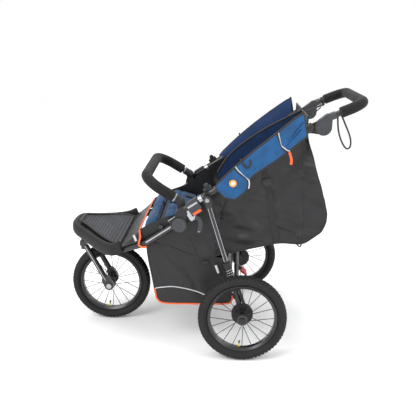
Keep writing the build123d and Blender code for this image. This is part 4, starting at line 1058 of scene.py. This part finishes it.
@dataclass
class Interior:
    """Rear drop of cloth, and the bound divider between the seats."""

    drop: tuple = ((340, 838), (339, 800), (342, 766), (368, 676), (401, 563), (412, 520), (415, 494),
                   (411, 466), (396, 440), (362, 412), (328, 396))
    half_mm: float = 226.0
    rows: int = 90
    cols: int = 100

    def rear(self) -> None:
        """Rear cloth: the drop line carried across, sagging back between the sides."""
        yz = line(self.drop, self.rows)
        a = np.linspace(-1, 1, self.cols)
        widths = self.half_mm - 22.0 * smoothstep(yz[:, 1], 600, 800)
        sag = 7.0 * (1 - a ** 4)[None] * np.sin(math.pi * np.linspace(0, 1, self.rows))[:, None]
        grid = np.zeros((self.rows, self.cols, 3))
        grid[..., 0] = widths[:, None] * a[None]
        grid[..., 1] = yz[:, :1] + sag * 0.4
        grid[..., 2] = yz[:, 1:]
        wave = ripples(grid[..., [0, 2]], 31, 130)
        grid[..., 1] -= 4.0 * np.abs(wave) + 5.0 * np.exp(-((a[None] * self.half_mm) / 5) ** 2)
        cloth = sheet("rear_cloth", grid * MM, 0.0018)
        fit(cloth, BLACK, "upper_frame", "black_fabric", "rear_drop")
        cut(cloth, grid * MM, "hung", ["upper_frame_tubes"])
        for name, path, radius, up in (
                ("rear_binding_left", grid[:, -1], 0.0026, (0, 1, 0)),
                ("rear_binding_right", grid[:, 0], 0.0026, (0, 1, 0)),
                ("rear_top_binding", grid[0], 0.0028, (0, 0, 1)),
                ("rear_hem_binding", grid[-1], 0.0028, (0, 0, 1))):
            fit(rope(name, path * MM, radius, up), BINDING, "upper_frame", "black_fabric")
        pocket = grid[40:66, 22:78] + [0, 6, 0]
        panel = fit(sheet("rear_pocket", pocket * MM, 0.0018), BLACK, "upper_frame", "black_fabric")
        cut(panel, pocket * MM, "stretched", ["rear_cloth"])
        fit(rope("rear_pocket_hem", pocket[0] * MM, 0.0022, (0, 0, 1)), TAPE, "upper_frame", "black_fabric")

    def divider(self) -> None:
        """Divider: padded navy sheet with bound top edge."""
        low = ((40, 474), (90, 474), (220, 494), (330, 512), (386, 526))
        high = ((31, 600), (62, 650), (113, 702), (210, 768), (336, 834))
        yz = coons(low, high, 90, 50)
        x = 2.6 * ripples(yz, 12, 110)
        grid = np.stack([x, yz[..., 0], yz[..., 1]], -1) * MM
        cloth = sheet("seat_divider_cloth", grid, 0.0050)
        WARDROBE.dress(cloth, NAVY_SHEET)
        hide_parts("seat_divider")
        edge = line(high, 80)
        rim = rope("seat_divider_binding", np.stack([2.6 * ripples(edge, 12, 110), *edge.T], -1) * MM, 0.0044)
        WARDROBE.dress(rim, BINDING)
        for piece, slot in ((cloth, "navy_fabric"), (rim, "black_fabric")):
            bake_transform(piece)
        cut(cloth, grid, "hung", ["rear_cloth"])

    def build(self) -> None:
        """Makes both."""
        self.rear()
        self.divider()


# ------------------------------------------------------------------ seats

@dataclass
class Seat:
    """One child's seat: stuffed seat and back pads, harness and side bolsters."""

    name: str
    side: float
    front: tuple = (-172.0, 462.0)
    rear: tuple = (30.0, 402.0)
    gap_mm: float = 8.0
    half_mm: float = 208.0
    back_from: tuple = (48.0, 404.0)
    back_len: float = 322.0
    back_angle: float = math.radians(10.3)

    def x_range(self) -> tuple[float, float]:
        """Lowest and highest x in mm."""
        a, b = self.side * self.gap_mm, self.side * self.half_mm
        return min(a, b), max(a, b)

    def seat_at(self, t: float, lift: float) -> tuple[float, float]:
        """(y, z) on the seat."""
        d = np.subtract(self.rear, self.front)
        n = np.array([-d[1], d[0]]) / np.hypot(*d)
        return tuple(np.array(self.front) + t * d + lift * n)

    def back_at(self, t: float, lift: float) -> tuple[float, float]:
        """(y, z) on the back at its rest angle."""
        c, s = math.cos(self.back_angle), math.sin(self.back_angle)
        run = t * self.back_len
        return self.back_from[0] + run * c - lift * s, self.back_from[1] + run * s + lift * c

    @staticmethod
    def outline(at: Callable, span: Sequence[float], lifts: Sequence[float]) -> Pairs:
        """Four corners of a cushion's side outline, from where it lies and its two faces' lifts."""
        (first, last), (low, high) = span, lifts
        return [at(first, low), at(last, low), at(last, high), at(first, high)]

    def quilt(self, pad: bpy.types.Object, lines_y: Sequence[float], lines_x: Sequence[float],
              top: float) -> None:
        """Sewn channels: points near a line sink by a bell of 5 mm width, more towards the top face."""
        p = coordinates(pad)
        middle = p.mean(0)
        sink = np.zeros(len(p))
        for axis, lines in ((1, lines_y), (0, lines_x)):
            for place_mm in lines:
                sink += np.exp(-((p[:, axis] - place_mm * MM) / 0.005) ** 2)
        face = smoothstep(p[:, 2] - middle[2] - (p[:, 1] - middle[1]) * top, 0.0, 0.010)
        p[:, 2] -= 0.0045 * np.clip(sink, 0, 1) * face
        place(pad, p)

    def build(self) -> None:
        """Makes the pads and harness."""
        x0, x1 = self.x_range()
        mid = (x0 + x1) / 2
        corners = self.outline(self.seat_at, (0.02, 0.98), (7.0, 29.0))
        pad = puff(slab(f"seat_pad_{self.name}", corners, x0 + 3, x1 - 3, 5), 0.0055, 0.006)
        self.quilt(pad, (-120, -60, 0), (mid,), -0.297)
        fit(pad, BLUE_SHADED, "front_frame", "navy_fabric")
        if self.side > 0:
            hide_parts("seat_pads")
        corners = self.outline(self.back_at, (0.02, 0.99), (1, 27))
        back = puff(slab(f"back_pad_{self.name}", corners, x0 + 3, x1 - 3, 5), 0.0060, 0.006)
        self.quilt(back, (110, 180, 250, 320), (mid - 58, mid + 58), 0.18)
        body = f"backrest_{self.name[0]}"
        fit(back, NAVY, body, "navy_fabric", f"backrest_{self.name}")
        self.harness(mid, body)

    def harness(self, mid: float, body: str) -> None:
        """Shoulder straps with pads on the back, hip and crotch straps with a buckle on the seat."""
        for k, dx in (("a", -44), ("b", 44)):
            yz = np.array([self.back_at(t, 33.5 + 1.5 * math.sin(9 * t))
                           for t in np.linspace(0.10, 0.86, 40)])
            path = np.stack([mid + dx + 0 * yz[:, 0], yz[:, 0], yz[:, 1]], -1) * MM
            fit(ribbon(f"shoulder_strap_{k}_{self.name}", path, 0.026, 0.0022, (0, 0, 1)), WEBBING, body,
                "webbing")
            sleeve = ribbon(f"shoulder_pad_{k}_{self.name}", path[14:36] + [0, -0.0008, 0.004], 0.050, 0.011,
                            (0, 0, 1))
            fit(sleeve, BLACK_SOFT, body, "black_fabric")
            hip = np.array([(mid + dx * out, *self.seat_at(t, lift))
                            for out, t, lift in ((2.05, 0.94, 38), (1.5, 0.84, 39), (0.5, 0.66, 41))])
            fit(ribbon(f"hip_strap_{k}_{self.name}", line(hip, 24) * MM, 0.026, 0.0022, (0, 0.3, 1)), WEBBING,
                "front_frame", "webbing")
        crotch = np.array([(mid, *self.seat_at(t, 39.5)) for t in (0.30, 0.46, 0.60)])
        fit(ribbon(f"crotch_strap_{self.name}", line(crotch, 16) * MM, 0.026, 0.0022, (0, 0.3, 1)), WEBBING,
            "front_frame", "webbing")
        spot = np.array([mid, *self.seat_at(0.62, 45)]) * MM
        buckle = block(f"harness_buckle_{self.name}", spot, (0.022, 0.026, 0.009), (0, 0.96, -0.28),
                       (0, 0.28, 0.96))
        fit(buckle, NYLON, "front_frame", "black_plastic")
        fit(lathe(f"buckle_button_{self.name}", [(0, 9), (1.6, 8.4), (2.2, 6.6), (2.2, 0.5)],
                  spot + np.array([0, 0.0022, 0.0082]), (0, 0.28, 0.96), 24), NYLON_GREY, "front_frame",
            "grey_plastic")


# ------------------------------------------------------------------ footwell

@dataclass
class Footwell:
    """Padded rim band, apron, floor and ribbed mat in front of the seats."""

    slope: float = math.radians(15.5)
    rear_edge: tuple = (-325, 352)
    wide_mm: float = 214
    narrow_mm: float = 72
    mat_inset_mm: float = 30
    band: tuple = ((226, -310, 374), (219, -345, 361), (182, -392, 363), (122, -452, 377), (78, -498, 391),
                   (44, -512, 396), (0, -515, 397))

    def floor_at(self, x: np.ndarray, along: np.ndarray, lift: np.ndarray | float) -> np.ndarray:
        """Points over the sloping floor in metres."""
        c, s = math.cos(self.slope), math.sin(self.slope)
        y0, z0 = self.rear_edge
        return np.stack([x + 0 * along, y0 - along * c + lift * s, z0 + along * s + lift * c], -1) * MM

    def half_width(self, along: np.ndarray) -> np.ndarray:
        """The floor's half width in mm, narrowing from rear to front."""
        return self.wide_mm - (self.wide_mm - self.narrow_mm) * smoothstep(along, 12, 215) ** 0.9

    def build(self) -> None:
        """Makes every piece."""
        half = list(self.band)
        path = line(half + [(-x, y, z) for x, y, z in half[-2::-1]], 160)
        height = 23.0 - 5.0 * np.exp(-(path[:, 0] / 90) ** 2)
        section = np.stack([oval(12.5, 1.0, 24, 0.75)[None, :, 0].repeat(160, 0),
                            oval(1.0, 1.0, 24, 0.75)[None, :, 1] * height[:, None]], -1)
        rim = build("footwell_rim", carry(path, section, (0, 0, 1)) * MM, wrap_cols=True, caps=True)
        fit(rim, BLACK_SOFT, "front_frame", "black_fabric", "footwell_shell")
        b = np.linspace(-6, 188, 90)[:, None]
        a = np.linspace(-1, 1, 110)[None]
        width = self.half_width(b)
        under = self.floor_at(width * a, b, 3.0 + 2.0 * (a ** 2) + 0 * b)
        floor = sheet("footwell_floor", under, 0.0030)
        fit(floor, BLACK, "front_frame", "black_fabric")
        cut(floor, under, "stretched", ["front_frame_tube"])
        inner = width - self.mat_inset_mm
        rib = 0.9 * np.sin(b * 2 * math.pi / 9.0) * smoothstep(1 - np.abs(a), 0.05, 0.09)
        over = self.floor_at(inner * a, b * 0.92 + 6, 12.0 + rib + 6.0 * a ** 6)
        mat = sheet("footwell_mat_ribbed", over, 0.0030)
        fit(mat, MAT, "front_frame", "foot_mat", "footwell_mat")
        cut(mat, over, "laid", ["footwell_floor"])
        edge_b = np.concatenate([np.linspace(-6, 188, 60), np.full(60, 188.0), np.linspace(188, -6, 60)])
        run = self.half_width(edge_b) - self.mat_inset_mm
        edge_a = np.concatenate([np.full(60, 1.0), np.linspace(1, -1, 60), np.full(60, -1.0)])
        border = self.floor_at(run * edge_a, edge_b * 0.92 + 6, 19.0)
        path = line(border / MM, 200, False) * MM
        fit(ribbon("footwell_mat_border", path, 0.012, 0.0030, (0, 0, 1)), WEBBING, "front_frame", "foot_mat")
        self.underlay()
        self.apron()

    def underlay(self) -> None:
        """Flat cloth that closes the seat's rear edge, under the pads."""
        under = np.stack(np.meshgrid(np.linspace(-208, 208, 60), np.linspace(18, 66, 12), indexing="ij"), -1)
        under = np.concatenate([under, 397 + 0 * under[..., :1]], -1) * MM
        underlay = sheet("seat_rear_underlay", under, 0.0018)
        fit(underlay, BLACK, "front_frame", "black_fabric")
        cut(underlay, under, "stretched", ["seat_frame"])

    def apron(self) -> None:
        """Apron from the mat's rear edge up to the seat front, with its orange piping and tag."""
        a = np.linspace(-1, 1, 120)
        low = np.stack([226 * a, -322 + 0 * a, 355 + 8 * a ** 4], -1)
        mid = np.stack([232 * a, -280 + 0 * a, 388 + 4 * a ** 4], -1)
        corner = 32 * smoothstep(np.abs(a), 0.93, 1.0)
        top = np.stack([241 * a, -242 - 2 * (1 - a ** 2) + 6 * a ** 8, 437 - 10 * a ** 6 - corner], -1)
        t = np.linspace(0, 1, 24)[None, :, None]
        grid = low[:, None] * (1 - t) ** 2 + mid[:, None] * 2 * t * (1 - t) + top[:, None] * t ** 2
        grid[..., 2] += 1.5 * ripples(grid[..., :2], 51, 90)
        apron = sheet("footwell_apron", grid * MM, 0.0034)
        fit(apron, BLACK, "front_frame", "black_fabric")
        cut(apron, grid * MM, "stretched", ["front_frame_tube", "seat_frame"])
        edge = np.stack([240 * a, -240 + 0 * a, 440 - 11 * a ** 6], -1)
        tail = [(246, -236, 416), (250, -240, 400), (250, -240, 388), (248, -228, 381), (246, -214, 381)]
        path = np.concatenate([[(-x, y, z) for x, y, z in reversed(tail)], edge[3:-3], tail])
        fit(rope("apron_piping", line(path, 240) * MM, 0.0034, (0, 1, 0.2)), ORANGE_CLOTH, "front_frame",
            "orange_plastic")
        tag = line([(-259, 424), (-251, 402)], 6, False)
        fit(ribbon("apron_tag", at_side(tag, 244.0, 1), 0.008, 0.0016), TAPE, "front_frame", "black_fabric")


@dataclass
class CalfPanel:
    """Blue padded panel between the apron and the seat's front edge."""

    def build(self) -> None:
        """Padded roll that hangs over the seat front on each seat."""
        corners = [(-220, 428), (-172, 470), (-179, 492), (-228, 444)]
        for name, side in SIDES.items():
            x0, x1 = sorted((side * 5.0, side * 226.0))
            pad = puff(slab(f"calf_pad_{name}", corners, x0, x1, 4), 0.0050, 0.006)
            fit(pad, BLUE_SHADED, "front_frame", "blue_fabric")
            if side > 0:
                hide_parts("calf_panel")


# ------------------------------------------------------------------ basket

@dataclass
class Basket:
    """Cloth basket under the seats: two sides, one long wrap, piping and small trim."""

    low: tuple = ((-186, 178), (-172, 163), (-150, 158), (-60, 157), (40, 158), (78, 161), (89, 172))
    high: tuple = ((-219, 384), (-160, 392), (-120, 372), (-60, 348), (0, 340), (40, 338), (72, 334))
    wrap: tuple = ((-219, 384), (-212, 330), (-196, 240), (-186, 178), (-172, 163), (-150, 158), (-40, 157),
                   (60, 158), (82, 164), (89, 190), (84, 250), (72, 320))
    half_mm: float = 222.0
    strips: tuple = (
        Strip("basket_piping", ((-192, 216), (-189, 198), (-185.5, 179), (-179.5, 168.5), (-171, 162.5),
                                (-160, 159), (-140, 157.5), (-100, 157), (-40, 157), (30, 157.5), (62, 158.5),
                                (80, 163), (89, 176), (90, 192)), 150, 0.6, (0.0032,), ORANGE_CLOTH,
              "orange_plastic"),
        Strip("basket_reflective", ((-190, 216), (-176, 220), (-129, 225), (-82, 218), (-42, 207), (0, 190),
                                    (30, 176)), 90, 0.9, (0.0020,), TAPE, "black_fabric"),
        Strip("basket_front_seam", ((-206, 330), (-200, 280), (-192, 222)), 40, 0.4, (0.0018,), BLACK,
              "black_fabric"),
        Strip("basket_strap", ((-34, 318), (-10, 319), (6, 316), (8, 290)), 30, 1.6, (0.009, 0.0016), WEBBING,
              "webbing"),
        Strip("basket_buckle", ((-18, 319), (4, 318)), 6, 3.6, (0.015, 0.006), NYLON, "black_plastic", False),
        Strip("reflector_cord", ((26, 404), (27, 360), (29, 315)), 30, 17.0, (0.0011,), WEBBING, "webbing"),
        Strip("reflector_tab", ((30, 314), (40, 286)), 8, 17.0, (0.0085, 0.0024), TAPE, "black_fabric",
              False))

    def offset(self, yz: np.ndarray) -> np.ndarray:
        """Half width: the cloth bellies out in the middle and folds under its top hem."""
        mid = np.sin(math.pi * np.clip((yz[..., 1] - 157) / 230, 0, 1))
        x = self.half_mm + 4.0 * mid + 2.6 * ripples(yz, 61, 120)
        for a, b, width, depth in (((-150, 330), (-60, 240), 12, 2.2), ((-80, 300), (-30, 200), 12, -2.0),
                                   ((-190, 300), (-150, 200), 10, 1.8)):
            x = x + depth * crease(yz, a, b, width)
        return x

    def at(self, points: Pairs, side: float, count: int, lift: float, smooth: bool = True) -> np.ndarray:
        """A path on the basket's side, lifted outwards by mm."""
        yz = line(points, count, smooth)
        return at_side(yz, self.offset(yz) + lift, side)

    def build(self) -> None:
        """Makes the basket."""
        yz = line(self.wrap, 130)
        a = np.linspace(-1, 1, 90)[None]
        grid = np.zeros((130, 90, 3))
        grid[..., 0] = self.offset(yz)[:, None] * a
        place_mm = np.stack([grid[..., 0], grid[..., 0] * 0 + yz[:, :1]], -1)
        grid[..., 1] = yz[:, :1] + 2.5 * ripples(place_mm, 71, 120)
        sag = 5.0 * (1 - a ** 2) * np.exp(-((yz[:, 1:] - 158) / 12) ** 2)
        grid[..., 2] = yz[:, 1:] - sag * 0.3
        wrap = sheet("basket_wrap", grid * MM, 0.0020)
        fit(wrap, BLACK, "front_frame", "black_fabric", "basket")
        cut(wrap, grid * MM, "stretched", ["front_frame_tube", "seat_frame"])
        for name, side in SIDES.items():
            yz = coons(self.low, self.high, 90, 60)
            cloth = sheet(f"basket_side_{name}", at_side(yz, self.offset(yz), side), 0.0018)
            fit(cloth, BLACK, "front_frame", "black_fabric")
            cut(cloth, at_side(yz, self.offset(yz), side), "stretched", ["basket_wrap"])
            for strip in self.strips:
                path = self.at(strip.points, side, strip.count, strip.lift, strip.smooth)
                fit(strip.piece(name, path), strip.finish, strip.body, strip.slot)


# ------------------------------------------------------------------ handle

@dataclass
class Handle:
    """Wrist strap and grip trim."""

    route: tuple = ((211.5, 437.0, 845.0), (211, 438, 826), (209, 441, 797), (207, 448, 770), (206, 460, 744),
                    (205, 473, 727), (205, 486, 733), (206, 487, 757), (207, 478, 784), (209, 465, 811),
                    (211, 455, 833), (211.5, 447, 850))
    strap_r: float = 0.003
    strap_len: float = 0.2624
    pivot: tuple = (412, 838)
    slope: float = math.radians(22)
    collar_mm: float = 40

    def build(self) -> None:
        """Makes the strap's smooth line through its route, and the grip's end collars."""
        curve = bpy.data.curves.new("wrist_strap_webbing_loop", "CURVE")
        curve.dimensions = "3D"
        spline = curve.splines.new("NURBS")
        spline.points.add(len(self.route) - 1)
        flat = np.concatenate([np.asarray(self.route) * MM, np.ones((len(self.route), 1))], 1)
        spline.points.foreach_set("co", flat.ravel())
        spline.order_u = 3
        spline.use_endpoint_u = True
        curve.bevel_depth = self.strap_r
        curve.bevel_resolution = 4
        curve.resolution_u = 12
        curve.use_fill_caps = True
        strap = bpy.data.objects.new("wrist_strap_loop", curve)
        bpy.context.scene.collection.objects.link(strap)
        curve.materials.append(WARDROBE.of(WEBBING_CORD))
        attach(strap, "handlebar")
        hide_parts("wrist_strap")
        c, s = math.cos(self.slope), math.sin(self.slope)
        y, z = self.pivot
        for name, side in SIDES.items():
            spot = (side * 0.2115, (y + self.collar_mm * c) * MM, (z + self.collar_mm * s) * MM)
            fit(lathe(f"grip_collar_{name}", [(-4, 11.5), (-3, 16), (1, 18.2), (2.6, 16)], spot, (0, c, s),
                      32), NYLON, "handlebar", "foam")


def main() -> None:
    """Builds every sub-assembly in order."""
    logging.basicConfig(level=logging.INFO, format="%(message)s")
    Studio().build()
    Chassis().build()
    Wheel("front", (0, -0.391, 0.155), "front_wheel", 36.0).build()
    Wheel("rear_left", (0.330, 0.125, 0.155), "rear_wheel_left", 25.0).build()
    Wheel("rear_right", (-0.330, 0.125, 0.155), "rear_wheel_right", 25.0).build()
    Handle().build()
    SideFabric().build()
    Wing().build()
    Interior().build()
    for name, side in SIDES.items():
        Seat(name, side).build()
    CalfPanel().build()
    Footwell().build()
    Basket().build()


if __name__ == "__main__":
    main()
